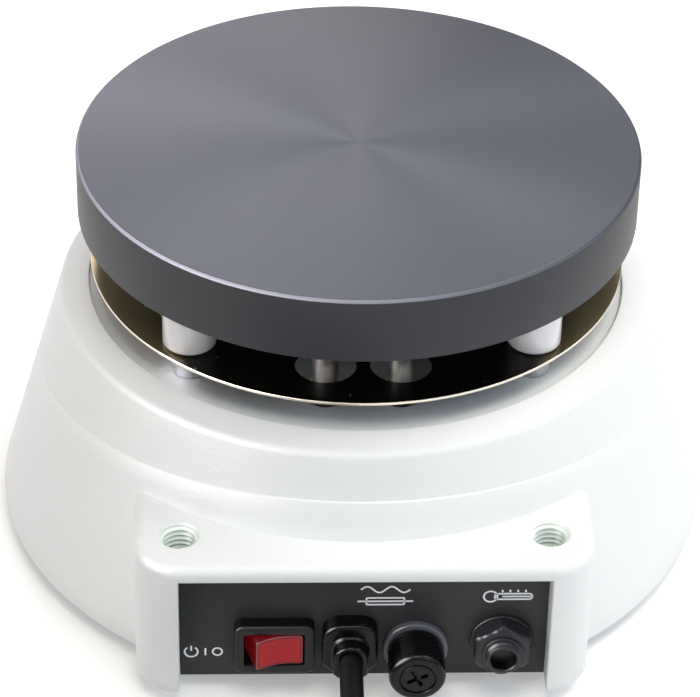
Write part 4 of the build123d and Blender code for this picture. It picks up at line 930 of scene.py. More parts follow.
def buildShield():
    # concentric rows of points on the upper and the lower face, with the rounded rim between them
    z0, z1 = shieldLow[2], shieldHigh[2]
    last, e = shield["outerRow"], shield["edge"]
    radii = [*shield["innerRows"], *np.linspace(*shield["holeRows"]), last]
    edge = rounded([(last, z0, 0), (shieldRadius, z0, e), (shieldRadius, z1, e), (last, z1, 0)], 4)[1:-1]
    profile = np.concatenate([[(r, z0) for r in radii], edge, [(r, z1) for r in radii[::-1]]])
    angle = np.arange(shield["columns"]) * 2 * np.pi / shield["columns"]
    r, z = profile[:, :1], profile[:, 1:]
    points = np.stack([r * np.cos(angle), r * np.sin(angle), z * np.ones_like(angle)], -1)
    across, distance = housing["tubeAt"]
    start = len(shield["innerRows"])
    end, rows = start + shield["holeRows"][2] - 1, len(profile)
    cells = []
    for side in (1, -1):
        columns = tubeColumns(side, shield["columns"], shield["holeColumns"])
        for i0, i1, height in ((start, end, z0), (rows - 1 - end, rows - 1 - start, z1)):
            cells.append((i0, i1, *columns, (side * across, distance, height), shield["hole"]))
    patches, rings = cutSheet(points, cells, True)
    # every second cell is on the upper face, and its hole runs down to the lower one
    for ring, cell in zip(rings[1::2], cells[1::2]):
        patches.append(bored(ring, cell[4], [(shield["hole"], 0.2), (shield["hole"], z1 - z0)]))
    return patches


makePiece("shield_disc", buildShield(), shieldFinish(), "base", ("heat_shield",), sharp=40)

# ceramic standoffs, steel spacers and lead tubes between the plate and the deck
supports = {"standoffRound": 1.3, "spacerRound": 1.0, "spacerTop": 0.3, "tubeWall": 0.7, "tubeEdge": 0.2}
glaze = Finish("glazedCeramic")
ripple = glaze.noise(160, 2)
glazeMaterial = glaze.surface(
    Base_Color=glaze.blend(ripple, screen(232, 230, 232), screen(240, 239, 240)),
    Roughness=ripple * 0.08 + 0.12,
    Coat_Weight=0.6,
    Coat_Roughness=0.06,
    Normal=glaze.relief(ripple, 0.12, 0.35),
)
for i in range(4):
    node = f"ceramic_standoff_{i + 1}"
    a, b, c = low(node), high(node), middle(node)
    r, edge = (b[0] - a[0]) / 2, supports["standoffRound"]
    profile = rounded([(0, a[2], 0), (r, a[2], edge), (r, b[2], edge), (0, b[2], 0)], 8)
    makePiece(f"standoff_{i + 1}", [turned(profile, (c[0], c[1], 0), steps=72)], glazeMaterial, "base",
              (node,))

spacerSteel = metal("spacerSteel", (170, 172, 176), (205, 206, 210), 0.3, (1, 1, 0.2))
postReach = abs(middle("ceramic_standoff_1")[0])
z0, z1 = low("lower_spacers")[2], high("lower_spacers")[2]
r, edge = high("lower_spacers")[0] - postReach, supports["spacerRound"]
profile = rounded([(0, z0, 0), (r, z0, edge), (r, z1, supports["spacerTop"]), (0, z1, 0)], 6)
spacers = [turned(profile, (x * postReach, y * postReach, 0), steps=48) for x in (1, -1) for y in (1, -1)]
makePiece("spacers", spacers, spacerSteel, "base", ("lower_spacers",))

tubeSteel = metal("leadTubeSteel", (88, 84, 78), (176, 172, 168), 0.34, (1, 1, 0.06), 900, 0.03)
x, y = housing["tubeAt"]
z0, z1 = low("lead_tubes")[2], high("lead_tubes")[2]
r, edge = high("lead_tubes")[0] - x, supports["tubeEdge"]
bore = r - supports["tubeWall"]
profile = rounded([(bore, z0, 0), (r, z0, edge), (r, z1, edge), (bore, z1, 0), (bore, z0, 0)], 4)
tubes = [turned(profile, (side * x, y, 0), steps=64) for side in (1, -1)]
makePiece("sheathed_leads", tubes, tubeSteel, "base", ("lead_tubes",))
print("hot plate and its supports built")

# fittings of the rear panel; each is placed by x and height, and its lengths count outwards from the panel
panelFace = rearBox["panelFace"]
outward, rightOf = (0, 1, 0), (-1, 0, 0)
blackGloss = moulded("blackGlossPlastic", (5, 5, 6), (10, 10, 12), 0.26, 900, 0.03, 0.08, shine=0.2)
blackSatin = moulded("blackSatinPlastic", (26, 26, 29), (36, 36, 40), 0.42, 1100, 0.05, shine=0.35)


def turnedOnPanel(at, profile, steps=96):
    return turned(profile, (at[0], panelFace, at[1]), outward, steps)


def stackedOnPanel(at, loops, close=(True, True)):
    return stacked(loops, (at[0], panelFace, at[1]), outward, rightOf, close)


def roll(inset, along, radius, steps=5):
    # profile points of an outside edge rounded by a radius, as inset and reach
    t = np.linspace(0, np.pi / 2, steps + 1)
    return [(inset + radius * (1 - np.cos(x)), along - radius + radius * np.sin(x)) for x in t]


# the switch: width, height and corner of its bezel, its window and its body behind the panel
switch = {
    "at": (23.8, 17.0),
    "bezel": (21.4, 16.2, 2.4),
    "window": (16.1, 10.8, 0.7),
    "windowEdge": ((0.45, 0.0), (0.13, 0.06), (0.0, 0.4)),
    "windowDepth": -4.0,
    "proud": 4.1,
    "body": (18.8, 12.8, 1.0),
    "edge": 0.8,
}
back, front = low("switch_body")[1] - panelFace, switch["proud"]
loops = [(grownLoop(switch["body"]), back), (grownLoop(switch["body"]), 0.0)]
loops += [(grownLoop(switch["bezel"]), 0.0)]
loops += [(grownLoop(switch["bezel"], -i), t) for i, t in roll(0, front, switch["edge"])]
loops += [(grownLoop(switch["window"], grow), front - t) for grow, t in switch["windowEdge"]]
loops += [(grownLoop(switch["window"]), switch["windowDepth"])]


def bezelFinish():
    # a fine grain on the face, smooth deep black round the sides
    finish = Finish("switchPlastic")
    grain = finish.noise(1100, 3)
    front = (finish.axis(1) - (panelFace + switch["proud"])).smooth(-0.7, -0.2)
    face = finish.blend(grain, screen(38, 36, 38), screen(47, 45, 47))
    return finish.surface(
        Base_Color=finish.blend(front, screen(5, 5, 6), face),
        Roughness=grain * 0.12 + 0.34,
        Specular_IOR_Level=0.2,
        Normal=finish.relief(grain, 0.05, 0.5),
    )


makePiece("switch_bezel", [stackedOnPanel(switch["at"], loops)], bezelFinish(), "base",
          ("switch_body",))

# the rocker: a dished cap, crest is its reach at both ends before the tilt
rocker = {
    "halfLength": 6.44,
    "height": 9.8,
    "corner": 0.9,
    "crest": 6.35,
    "dish": 1.25,
    "tilt": 13.0,
    "pivot": 0.8,
    "edge": 0.55,
    "foot": -3.0,
    "flare": 0.9,
    "rings": (1.0, 1.6, 2.2, 2.8, 3.4, 4.0, 4.5),
}


def rockerSkin():
    # loops that shrink inwards from the foot; a point's reach is crest - dish * (1 - (x / halfLength)^2),
    # less the rounded edge, and every point keeps its inset from the border for the finish
    halfLength, halfHeight = rocker["halfLength"], rocker["height"] / 2
    insets = [(0.0, None)] + [(i, d - rocker["edge"]) for i, d in roll(0, rocker["edge"], rocker["edge"], 6)]
    insets += [(i, 0.0) for i in (*rocker["rings"], halfHeight - 0.02)]
    turn = np.radians(rocker["tilt"])
    sheets, borders = [], []
    for inset, drop in insets:
        loop = grownLoop((2 * halfLength, 2 * halfHeight, rocker["corner"]), -inset)
        # each stretch is divided in four, so that the dish stays smooth along the long sides
        t = np.linspace(0, 1, 5)[:-1, None]
        loop = (loop[:, None] * (1 - t) + np.roll(loop, -1, 0)[:, None] * t).reshape(-1, 2)
        along = rocker["crest"] - rocker["dish"] * (1 - (loop[:, 0] / halfLength) ** 2)
        atFoot = drop is None
        reach = np.full(len(loop), rocker["foot"]) if atFoot else along + drop
        spread = 1 + rocker["flare"] / halfLength if atFoot else 1
        sheets.append(np.stack([loop[:, 0] * spread, reach, loop[:, 1]], -1))
        borders.append(np.full(len(loop), rocker["foot"] if atFoot else inset))
    local = np.stack(sheets)
    local = np.concatenate([local[:1] * [0, 1, 0], local])
    borders = np.concatenate([[borders[0]], np.stack(borders)])
    c, s = np.cos(turn), np.sin(turn)
    x = local[..., 0] * c - local[..., 1] * s
    y = local[..., 0] * s + local[..., 1] * c
    at = np.array([switch["at"][0], panelFace - rocker["pivot"], switch["at"][1]])
    return np.stack([x, y, local[..., 2]], -1) + at, borders


def rockerFinish():
    # clear red cap, brighter on its face and deeper at the border, with a thin pale line where the rim turns;
    # a faint painted glow, stronger on the face, stands in for light shining through the clear plastic
    finish = Finish("redRocker")
    depth = finish.add("ShaderNodeAttribute", {"attribute_name": "border"}, out="Fac")
    cloud = finish.noise(300, 2)
    inner = depth.smooth(0.75, 1.0)
    rimLine = depth.smooth(0.05, 0.2) * (1 - depth.smooth(0.35, 0.5))
    lit = finish.blend(cloud, screen(150, 12, 18), screen(168, 17, 24))
    deep = finish.blend(cloud, screen(82, 12, 20), screen(98, 16, 24))
    body = finish.blend(inner, deep, lit)
    return finish.surface(
        Base_Color=finish.blend(rimLine * 0.5, body, screen(176, 110, 120)),
        Roughness=cloud * 0.06 + 0.14,
        Specular_IOR_Level=0.25,
        Coat_Weight=0.1,
        Coat_Roughness=0.05,
        # painted glow: this emission stands in for light that passes through the clear red plastic
        Emission_Color=finish.blend(inner, (0.3, 0.006, 0.01, 1), (0.4, 0.008, 0.012, 1)),
        Emission_Strength=0.2,
        Normal=finish.relief(cloud, 0.03, 0.3),
    )


points, borders = rockerSkin()
red = makePiece("rocker_cap", [grid(points, wrapColumns=True)], rockerFinish(), "rocker", ("rocker",),
                sharp=50, weld=0.00001)
# the weld renumbers the points, so each takes the border value of the nearest one that was given
flat = points.reshape(-1, 3) * mm
where = np.zeros(len(red.data.vertices) * 3, np.float32)
red.data.vertices.foreach_get("co", where)
nearest = np.argmin(((where.reshape(-1, 1, 3) - flat[None]) ** 2).sum(-1), 1)
layer = red.data.attributes.new("border", "FLOAT", "POINT")
layer.data.foreach_set("value", borders.reshape(-1)[nearest].astype(np.float32))
print("switch built")


def outlineLoop(corners, steps=5):
    # a closed outline through rounded corners, started half-way along its first side
    first, second = np.array(corners[0][:2], float), np.array(corners[1][:2], float)
    start = (first + second) / 2
    ring = [(*start, 0), *corners[1:], corners[0], (*start, 0)]
    return rounded(ring, steps)[:-1]


# the cord's grip: a flange and a collar, both cut at their lower corners, and the bush behind the panel
grip = {
    "at": (3.6, 17.4),
    "halfWidth": 7.4,
    "halfHeight": 8.45,
    "cut": 3.6,
    "round": 4.6,
    "flange": 5.0,
    "flangeEdge": 1.0,
    "collar": 4.6,
    "collarCut": 1.2,
    "collarEdge": 0.7,
    "reach": 10.0,
    "mouth": (3.25, 3.2),
    "mouthDepth": 5.0,
    "bushRadius": 6.0,
    "bushBack": -10.2,
}


def cutLoop(half, bottom, top, cut, soft, corner):
    # an outline whose lower corners are cut at an angle and whose upper ones are round
    side, sole = soft
    return outlineLoop([
        (-half, bottom + cut, side), (-half + cut, bottom, sole), (half - cut, bottom, sole),
        (half, bottom + cut, side), (half, top, corner), (-half, top, corner),
    ])


def gripLoop(inset):
    tall = grip["halfHeight"] - inset
    cut = grip["cut"] - inset * 0.6
    return cutLoop(grip["halfWidth"] - inset, -tall, tall, cut, (0.8, 0.6), grip["round"] - inset)


def collarLoop(half, bottom, top, corner):
    return cutLoop(half, bottom, top, grip["collarCut"], (0.4, 0.4), corner)


c, cut, flange = grip["collar"], grip["collarCut"], grip["flange"]
brim = grip["reach"] - 0.6
loops = [(gripLoop(0), 0.0)] + [(gripLoop(i), t) for i, t in roll(0, flange, grip["flangeEdge"])]
loops += [(collarLoop(c + 0.5, -c - cut - 0.4, c + 0.4, c - 0.4), flange)]
loops += [(collarLoop(c, -c - cut, c, c - 0.5), flange + 0.5)]
loops += [
    (collarLoop(c - i, i - c - cut, c - i, c - 0.5 - i), t) for i, t in roll(0.0, brim, grip["collarEdge"])
]
loops += [(collarLoop(m, -m, m, 3.1), t) for m, t in zip(grip["mouth"], (brim, grip["mouthDepth"]))]
bush = rounded([
    (0, grip["bushBack"], 0), (grip["bushRadius"] - 0.5, grip["bushBack"], 0.5), (grip["bushRadius"], 0.0, 0),
    (0, 0.0, 0),
])
makePiece("cord_gland", [stackedOnPanel(grip["at"], loops), turnedOnPanel(grip["at"], bush, 48)], blackGloss,
          "base", ("cord_grip",))

# the fuse holder: a flange in the panel in black plastic, its colour painted grey for the sheen it shows, and
# a black cap with a cross slot
fuse = {
    "at": (-14.0, 15.0),
    "flange": (8.75, 1.9),
    "holder": 6.25,
    "bore": 5.2,
    "cap": 7.6,
    "capFrom": 2.2,
    "face": 13.6,
    "boss": 4.5,
    "groove": 0.7,
    "slot": (3.05, 0.62),
    "slotDepth": 1.3,
    "turn": 26.0,
    "stem": 4.9,
    "stemBack": -12.0,
}
back = low("fuse_holder")[1] - panelFace
brim, front = fuse["flange"]
holder, bore, step = fuse["holder"], fuse["bore"], back + 1.5
# painted sheen: the holder is black plastic, coloured grey for the light that it reflects
paintedSheenRim = moulded("greyRimPlastic", (84, 84, 93), (104, 104, 113), 0.3, 900, 0.03, 0.1, shine=0.35)
profile = rounded([
    (bore, back, 0), (holder, back, 0.3), (holder, 0, 0), (brim, 0, 0.15), (brim, front, 0.5),
    (bore + 0.3, front, 0.15), (bore, front - 0.3, 0), (bore, step, 0), (0, step, 0),
])
makePiece("fuse_socket", [turnedOnPanel(fuse["at"], profile)], paintedSheenRim, "base",
          ("fuse_holder",))


def capFace():
    # a cross-shaped slot: rings slide from the cross's outline to the boss's edge, and two go down the slot
    long, half = fuse["slot"]
    quarter = np.array([
        (half, half), (half, long / 2), (half, long), (0, long), (-half, long), (-half, long / 2),
    ])
    spins = [Matrix.Rotation(np.radians(fuse["turn"]) + i * np.pi / 2, 2) for i in range(4)]
    outline = np.concatenate([quarter @ np.array(spin).T for spin in spins])
    dense = np.concatenate([outline, (outline + np.roll(outline, -1, 0)) / 2], 1).reshape(-1, 2)
    start = np.arctan2(dense[0, 1], dense[0, 0])
    even = np.linspace(start, start + 2 * np.pi, len(dense), endpoint=False)
    edge = np.stack([np.cos(even), np.sin(even)], -1) * (fuse["boss"] - 0.25)
    face = fuse["face"] - 0.15
    loops = [(dense * 0.96, face - fuse["slotDepth"]), (dense * 0.98, face - 0.1)]
    loops += [(dense * (1 - t) + edge * t, face) for t in np.linspace(0, 1, 5)]
    return stackedOnPanel(fuse["at"], loops, (True, False))


cap, capFrom, stem, stemBack = (fuse[key] for key in ("cap", "capFrom", "stem", "stemBack"))
boss, face, groove = fuse["boss"], fuse["face"], fuse["face"] - fuse["groove"]
profile = rounded([
    (0, stemBack, 0), (stem, stemBack, 0.4), (stem, capFrom, 0), (cap, capFrom, 0.3), (cap, face, 1.5),
    (boss + 0.5, face, 0.2), (boss + 0.4, groove, 0.1), (boss, groove, 0.1), (boss, face - 0.15, 0.2),
    (boss - 0.25, face - 0.15, 0),
], 6)
makePiece("fuse_knob", [turnedOnPanel(fuse["at"], profile), capFace()], blackGloss, "fuse_cap",
          ("fuse_cap",))

# the temperature probe's jack: a seal, a hexagonal nut and a threaded barrel with a deep bore
jack = {
    "at": (-37.0, 17.35),
    "washer": (8.5, 1.2),
    "across": 14.8,
    "thick": 4.8,
    "collar": 5.5,
    "nose": 4.85,
    "reach": 9.0,
    "bore": 3.5,
    "boreDepth": -9.0,
    "body": 6.5,
    "bodyFront": -2.2,
    "shank": 4.9,
    "threadPitch": 0.75,
    "threadDepth": 0.32,
}
sealRadius, nutBack = jack["washer"]
nutFront = nutBack + jack["thick"]
nutColumns = np.linspace(0, 2 * np.pi, 120, endpoint=False)


def hexLoop(across, inset=0.0):
    # a hexagon with its corners up and down, whose corners a chamfer circle trims when the inset grows
    side = (nutColumns + np.pi / 6) % (np.pi / 3) - np.pi / 6
    r = across / 2 / np.cos(side)
    r = np.minimum(r, across / 2 / np.cos(np.pi / 6) - 0.15 - inset)
    return np.stack([r * np.cos(nutColumns), r * np.sin(nutColumns)], -1)


hexagon = jack["across"]
loops = [(hexLoop(hexagon, 0.6), nutBack), (hexLoop(hexagon), nutBack + 0.4)]
loops += [(hexLoop(hexagon), nutFront - 1.1), (hexLoop(hexagon, 0.45), nutFront - 0.7)]
loops += [(hexLoop(hexagon, 1.1) * 0.985, nutFront - 0.2), (hexLoop(hexagon * 0.95, 1.6), nutFront)]
loops += [(np.stack([np.cos(nutColumns), np.sin(nutColumns)], -1) * 5.2, nutFront)]


def jackFinish():
    # bluish black, and painted shade down the bore: deep black where the bore's inside lies in shadow
    finish = Finish("bluishPlastic")
    grain = finish.noise(900, 3)
    x, z = jack["at"]
    # painted shade: the inside of the bore is coloured black, where no light reaches
    bore = finish.radius((x, 0, z), 1).smooth(jack["bore"] + 0.35, jack["bore"] + 0.1)
    skin = finish.blend(finish.noise(40, 2), screen(26, 26, 33), screen(38, 38, 46))
    return finish.surface(
        Base_Color=finish.blend(bore, skin, screen(1, 1, 2)),
        Roughness=grain * 0.16 + 0.3,
        Specular_IOR_Level=0.35,
        Normal=finish.relief(grain, 0.04, 0.5),
    )


nutPlastic = jackFinish()
makePiece("jack_hex_nut", [stackedOnPanel(jack["at"], loops)], nutPlastic, "base",
          ("jack_nut",), sharp=28)
profile = rounded([(5.0, 0, 0), (sealRadius, 0, 0.2), (sealRadius, nutBack, 0.4), (5.0, nutBack, 0)])
makePiece("jack_seal", [turnedOnPanel(jack["at"], profile)], blackSatin, "base",
          ("jack_washer",))
back = low("sensor_jack")[1] - panelFace
body, bodyFront, shank, collar = (jack[key] for key in ("body", "bodyFront", "shank", "collar"))
nose, reach, bore, boreDepth = (jack[key] for key in ("nose", "reach", "bore", "boreDepth"))
pitch = jack["threadPitch"]
roots = np.arange(nutFront + 0.9, reach - 0.7, pitch)
wave = ((jack["threadDepth"], 0.0), (0.0, pitch / 2))
profile = rounded([
    (0, back, 0), (body, back, 0.6), (body, bodyFront, 0), (shank, bodyFront, 0), (shank, nutFront - 0.1, 0),
    (collar, nutFront - 0.1, 0), (collar, nutFront + 0.7, 0.25),
    *[(nose - depth, root + along, 0.05) for root in roots for depth, along in wave],
    (nose - 0.2, reach - 0.7, 0.1), (nose - 0.35, reach, 0.3), (bore + 0.3, reach, 0.15),
    (bore, reach - 0.3, 0), (bore, boreDepth, 0), (0, boreDepth, 0),
], 4)
makePiece("jack_barrel", [turnedOnPanel(jack["at"], profile)], nutPlastic, "base",
          ("sensor_jack",))


def ribbon(path, width, centre, direction, across, closed=False, sunk=0.03, proud=0.05):
    # a printed line: each point of the path gets a low rectangle, half its width to each side of the path
    path = np.asarray(path, float)
    ahead = np.roll(path, -1, 0) - np.roll(path, 1, 0) if closed else np.gradient(path, axis=0)
    aside = np.stack([-ahead[:, 1], ahead[:, 0]], -1) / np.linalg.norm(ahead, axis=1)[:, None] * width / 2
    u, v, w = axes(direction, across)
    corners = ((path + aside, -sunk), (path + aside, proud), (path - aside, proud), (path - aside, -sunk))
    points = np.stack([np.array(centre, float) + p[:, :1] * u + p[:, 1:] * v + t * w for p, t in corners], 1)
    if not closed:
        ends = [np.repeat(side.mean(1, keepdims=True), 4, 1) for side in (points[:1], points[-1:])]
        points = np.concatenate([ends[0], points, ends[1]])
    return grid(points, wrapRows=closed, wrapColumns=True)


def circlePath(radius, start=0.0, end=360.0, steps=40):
    t = np.radians(np.linspace(start, end, steps, endpoint=end - start < 360))
    return radius * np.stack([np.cos(t), np.sin(t)], -1)


# plain pictograms on the panel: power, on and off beside the switch, a wave and a fuse, and a thermometer;
# each starts with its x and its height
marks = {
    "line": 0.5,
    "power": (46.0, 13.4, 1.75),
    "on": (42.2, 13.4, 1.2),
    "off": (39.0, 13.4, 1.25),
    "wave": (-5.6, 34.6, 6.5, 1.0),
    "fuse": (-5.6, 30.6, 5.0, 2.3, 7.4),
    "stem": (-39.6, 32.0, 10.0, 1.9),
    "bulb": (-33.5, 32.0, 1.8),
    "ticks": (-42.8, -36.6, 4),
}
x, z, r = marks["power"]
strokes = [((x, z), circlePath(r, 125, 415), False), ((x, z), [(0, 0.3), (0, r + 0.35)], False)]
x, z, r = marks["on"]
strokes.append(((x, z), [(0, -r), (0, r)], False))
x, z, r = marks["off"]
strokes.append(((x, z), circlePath(r), True))
x, z, reach, rise = marks["wave"]
t = np.linspace(-1, 1, 49)
strokes.append(((x, z), np.stack([t * reach, rise * np.sin(t * 2 * np.pi)], -1), False))
x, z, half, tall, reach = marks["fuse"]
strokes += [((x, z), rectangleLoop(2 * half, tall, 0.3, 3), True), ((x, z), [(-reach, 0), (reach, 0)], False)]
x, z, length, wide = marks["stem"]
strokes.append(((x, z), rectangleLoop(length, wide, wide / 2, 6), True))
strokes.append(((x, z), [(-length * 0.3, 0), (length * 0.5, 0)], False))
x, z, r = marks["bulb"]
strokes.append(((x, z), circlePath(r), True))
strokes += [((t, z), [(0, wide / 2 + 0.5), (0, wide / 2 + 1.3)], False) for t in np.linspace(*marks["ticks"])]
whiteInk = moulded("whiteInk", (243, 244, 252), (252, 252, 255), 0.5, 600, 0.01)
printed = [
    ribbon(path, marks["line"], (x, panelFace, z), outward, rightOf, closed)
    for (x, z), path, closed in strokes
]
makePiece("panel_marks", printed, whiteInk, "base", (), weld=0.00001)
print("rear fittings built")

# feet: rubber buttons with a deep well for their screw
feet = {
    "well": 4.5,
    "depth": 3.0,
    "sole": 0.85,
    "soleEdge": 0.8,
    "waist": 0.9,
    "groove": 0.5,
    "grooveRows": (1.9, 2.1, 2.5, 2.7),
}
footRubber = moulded("footRubber", (30, 30, 31), (42, 42, 43), 0.6, 800, 0.08)
for i in range(4):
    node = f"foot_{i + 1}"
    a, b, c = low(node), high(node), middle(node)
    r, well, depth = (b[0] - a[0]) / 2, feet["well"], feet["depth"]
    waist, (z0, z1, z2, z3) = r * feet["waist"], a[2] + np.array(feet["grooveRows"])
    profile = rounded([
        (0, depth, 0), (well, depth, 0.2), (well, a[2], 0.4), (r * feet["sole"], a[2], feet["soleEdge"]),
        (waist, z0, 0.1), (waist - feet["groove"], z1, 0.1), (waist - feet["groove"], z2, 0.1),
        (waist + r * 0.02, z3, 0.1), (r, b[2], 0.1), (0, b[2], 0),
    ])
    makePiece(f"rubber_foot_{i + 1}", [turned(profile, (c[0], c[1], 0), steps=64)], footRubber, "base",
              (node,))

# control knobs on the sloping front: fluted skirts with a pointer, and a printed scale round each; the scale
# is its inner radius, its short and its long outer radius, and the width of a stroke
knobs = {
    "middle": (0.0, -96.44, 31.5),
    "from": 1.6,
    "height": 8.0,
    "skirt": 1.2,
    "radius": (11.0, 9.0),
    "flutes": 24,
    "fluteDepth": 0.45,
    "restAngle": -150.0,
    "pointer": (1.2, 4.6, 0.5),
    "pointerAt": 5.2,
    "fascia": 0.6,
    "scale": (12.0, 13.0, 13.6, 0.4),
    "scaleTurn": (-150, 150, 11),
}
tilt = np.radians(console["slope"])
acrossConsole = np.array([1.0, 0, 0])
outOfConsole = np.array([0, -np.cos(tilt), np.sin(tilt)])
upConsole = np.array([0, np.sin(tilt), np.cos(tilt)])


def knobSkin(centre):
    # rows up the skirt and over the rounded edge; radius = profile - depth * share(height) * wave(turn)
    # presses shallow flutes into the wall
    r0, r1 = knobs["radius"]
    h0, h1, skirt = knobs["from"], knobs["from"] + knobs["height"], knobs["skirt"]
    profile = rounded([
        (0, h0, 0), (r0, h0, 0.2), (r0 - 0.1, h0 + skirt, 0.2), (r1, h1, 1.0), (r1 - 2.4, h1, 0.4),
        (r1 - 2.8, h1 - 0.5, 0.3), (0, h1 - 0.7, 0),
    ])
    across, height = profile[:, 0], profile[:, 1]
    steps = knobs["flutes"] * 8
    a = np.arange(steps) * 2 * np.pi / steps
    share = np.clip(height - h0 - skirt, 0, 1) * np.clip((h1 - 0.3 - height) / 1.2, 0, 1) * (across > r1 - 2)
    wave = (0.5 - 0.5 * np.cos(a * knobs["flutes"])) ** 2
    radius = across[:, None] - knobs["fluteDepth"] * share[:, None] * wave
    spokes = np.cos(a)[:, None] * acrossConsole + np.sin(a)[:, None] * upConsole
    points = centre + radius[..., None] * spokes
    return grid(points + height[:, None, None] * outOfConsole, wrapColumns=True)


knobPlastic = moulded("knobPlastic", (34, 35, 38), (44, 45, 48), 0.42, 900, 0.05)
markPaint = moulded("markPaint", (226, 228, 230), (238, 239, 240), 0.5, 600, 0.01)
top = knobs["from"] + knobs["height"]
pointer = [(grownLoop(knobs["pointer"], -i), t) for i, t in ((0, top - 0.8), (0, top - 0.1), (0.12, top))]
a = np.radians(knobs["restAngle"])
pointing = np.sin(a) * acrossConsole + np.cos(a) * upConsole
for node in ("speed_knob", "heat_knob"):
    centre = middle(node) * [1, 0, 0] + np.array(knobs["middle"])
    makePiece(f"{node}_cap", [knobSkin(centre)], knobPlastic, node, (node,))
    stripe = stacked(pointer, centre + pointing * knobs["pointerAt"], outOfConsole,
                     np.cross(pointing, outOfConsole))
    makePiece(f"{node}_pointer", [stripe], markPaint, node, ())
    # eleven strokes round the knob, the first, the middle and the last a little longer
    inner, short, long, pen = knobs["scale"]
    scale = []
    for i, a in enumerate(np.radians(np.linspace(*knobs["scaleTurn"]))):
        ends = np.array([[inner], [long if i % 5 == 0 else short]]) * (np.sin(a), np.cos(a))
        scale.append(ribbon(ends, pen, centre + outOfConsole * knobs["fascia"], outOfConsole, acrossConsole))
    makePiece(f"{node}_scale", scale, markPaint, "base", (), weld=0.00001)
print("feet and knobs built")

# the plug: a ribbed neck that swells into a rounded body; groove and face are (shrink, depth below the face)
plug = {
    "neck": 18.0,
    "neckWall": (1.6, 4.0),
    "ribs": 6,
    "ribDepth": 0.55,
    "swell": 9.0,
    "body": 32.0,
    "width": 24.0,
    "height": 22.0,
    "corner": 6.0,
    "groove": ((0, 12), (1.2, 11.4), (1.2, 9.6), (0, 9.0)),
    "face": ((0, 1.0), (0.3, 0.3), (1.4, 0.0)),
}
lowest, plugMiddle = low("plug_body"), middle("plug_body") * [0, 1, 1]
neckStart, neckEnd = lowest[0], lowest[0] + plug["neck"]
wallStart, wallEnd = (cordWidth / 2 + wall for wall in plug["neckWall"])
loops = []
for t in np.linspace(0, 1, 49):
    rib = (0.5 + 0.5 * np.cos(2 * np.pi * t * plug["ribs"])) ** 3 * (0.05 < t < 0.97)
    r = wallStart + (wallEnd - wallStart) * t - plug["ribDepth"] * rib
    loops.append((rectangleLoop(2 * r, 2 * r, r - 0.001, 8), neckStart + plug["neck"] * t))
for t in np.linspace(0.08, 1, 12):
    ease = 1 - (1 - t) ** 2.4
    w, h = (2 * wallEnd * (1 - ease) + plug[key] * ease for key in ("width", "height"))
    corner = (wallEnd - 0.01) * (1 - ease) + plug["corner"] * ease
    loops.append((rectangleLoop(w, h, corner, 8), neckEnd + plug["swell"] * t))
loops += [
    (rectangleLoop(plug["width"] - g, plug["height"] - g, plug["corner"], 8), neckEnd + plug["body"] - d)
    for g, d in plug["groove"] + plug["face"]
]
plugRubber = moulded("plugRubber", (12, 12, 14), (20, 20, 23), 0.45, 900, 0.05, shine=0.2)
plugPiece = makePiece("plug_moulding", [stacked(loops, plugMiddle, (1, 0, 0), (0, 1, 0))], plugRubber, "base",
                      ("plug_body",))

# the tie: a strap in a rounded rectangle round all turns of the coil, between two radii of it
strap = {
    "angle": -90.0,
    "width": 9.0,
    "thick": 0.7,
    "edge": 0.2,
    "inner": 24.9,
    "outer": 50.9,
    "top": 12.9,
    "corner": 3.2,
    "gap": 0.01,
}
a = np.radians(strap["angle"])
outwards, sideways = np.array([np.cos(a), np.sin(a), 0]), np.array([-np.sin(a), np.cos(a), 0])
centre = np.array([*cordFacts["coilCentre"], 0.0]) + outwards * (strap["inner"] + strap["outer"]) / 2
half, thick, gap = strap["width"] / 2, strap["thick"], strap["gap"]
flat = half - strap["edge"]
sheets = []
for along, grow in ((-half, 0.0), (-flat, thick), (flat, thick), (half, 0.0), (-half, 0.0)):
    wide, tall = strap["outer"] - strap["inner"] + 2 * grow, strap["top"] + grow - 2 * gap
    loop = rectangleLoop(wide, tall, strap["corner"] + grow, 8)
    height = loop[:, 1:] + tall / 2 + gap
    sheets.append(centre + outwards * loop[:, :1] + np.array([0, 0, 1.0]) * height + sideways * along)
wovenStrap = moulded("wovenStrap", (30, 30, 32), (48, 48, 50), 0.65, 1600, 0.2)
strapPiece = makePiece("cord_tie", [grid(np.stack(sheets), wrapColumns=True)], wovenStrap, "base",
                       ())
print("plug and tie built")

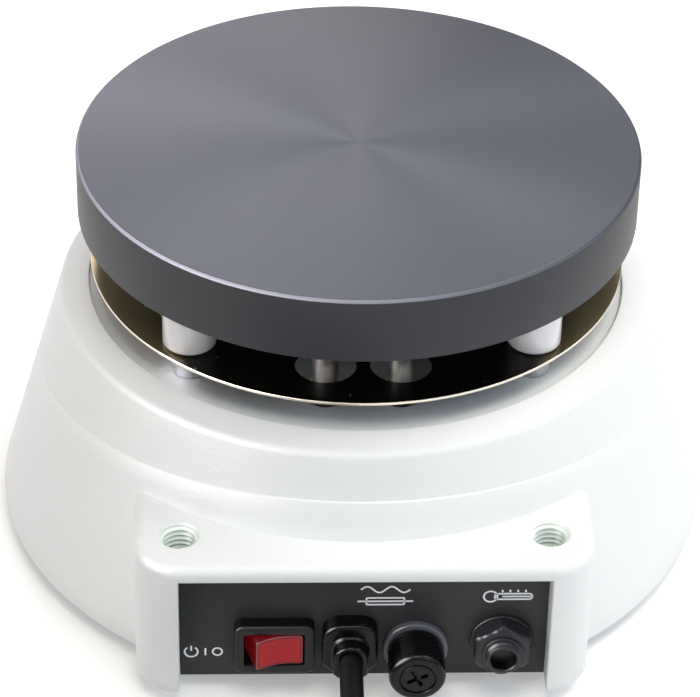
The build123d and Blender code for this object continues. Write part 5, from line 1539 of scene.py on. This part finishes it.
# finishes of the CAD pieces that stay, by the slot that each of them has
steel = metal("innerSteel", (120, 122, 126), (176, 178, 182), 0.36)
sheetPaint = moulded("basePaint", (72, 73, 75), (84, 85, 87), 0.55, 1000, 0.06)
bySlot = {
    "turned_plate": steel,
    "steel_inner": steel,
    "grey_washer": steel,
    "spacer_steel": spacerSteel,
    "lead_tube_steel": tubeSteel,
    "glazed_ceramic": glazeMaterial,
    "white_powder_coat": sheetPaint,
    "dark_enamel": sheetPaint,
    "base_sheet": sheetPaint,
    "black_gloss_plastic": blackGloss,
    "red_rocker": blackGloss,
    "black_matt_plastic": blackSatin,
    "cord_jacket": blackSatin,
    "foot_rubber": footRubber,
    "black_panel": moulded("mattPanel", (33, 33, 34), (41, 41, 43), 0.5, 1300, 0.05, 0.0, 90, 0.35),
    "brass_contacts": metal("brassContacts", (150, 120, 62), (204, 170, 100), 0.3),
    "magnet_nickel": metal("nickelPlate", (176, 176, 174), (222, 222, 220), 0.18),
    "mica": moulded("micaSheet", (150, 138, 112), (186, 174, 146), 0.5, 300, 0.1),
    "ceramic_fibre": moulded("ceramicFibre", (206, 203, 194), (232, 230, 222), 0.85, 1200, 0.4),
    "board_laminate": moulded("boardLaminate", (20, 72, 40), (30, 92, 52), 0.35, 500, 0.03, 0.2),
    "board_blocks": moulded("boardBlocks", (30, 31, 36), (52, 53, 60), 0.45, 800, 0.05),
    "display_lens": moulded("displayLens", (30, 12, 14), (38, 16, 18), 0.14, 400, 0.01, 0.6),
    "lamp_lens": moulded("lampLens", (196, 96, 22), (222, 124, 40), 0.16, 500, 0.02, 0.6),
    "fuse_glass": moulded("fuseGlass", (206, 214, 212), (226, 232, 230), 0.1, 300, 0.01, 0.5),
}
byNode = {"front_fascia": moulded("fasciaEnamel", (60, 62, 66), (70, 72, 77), 0.42, 1100, 0.04)}
for name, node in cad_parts.items():
    for place in node.material_slots:
        slotName = place.material.name.split(".")[0]
        place.material = byNode.get(name) or bySlot[slotName]
print("finishes set")
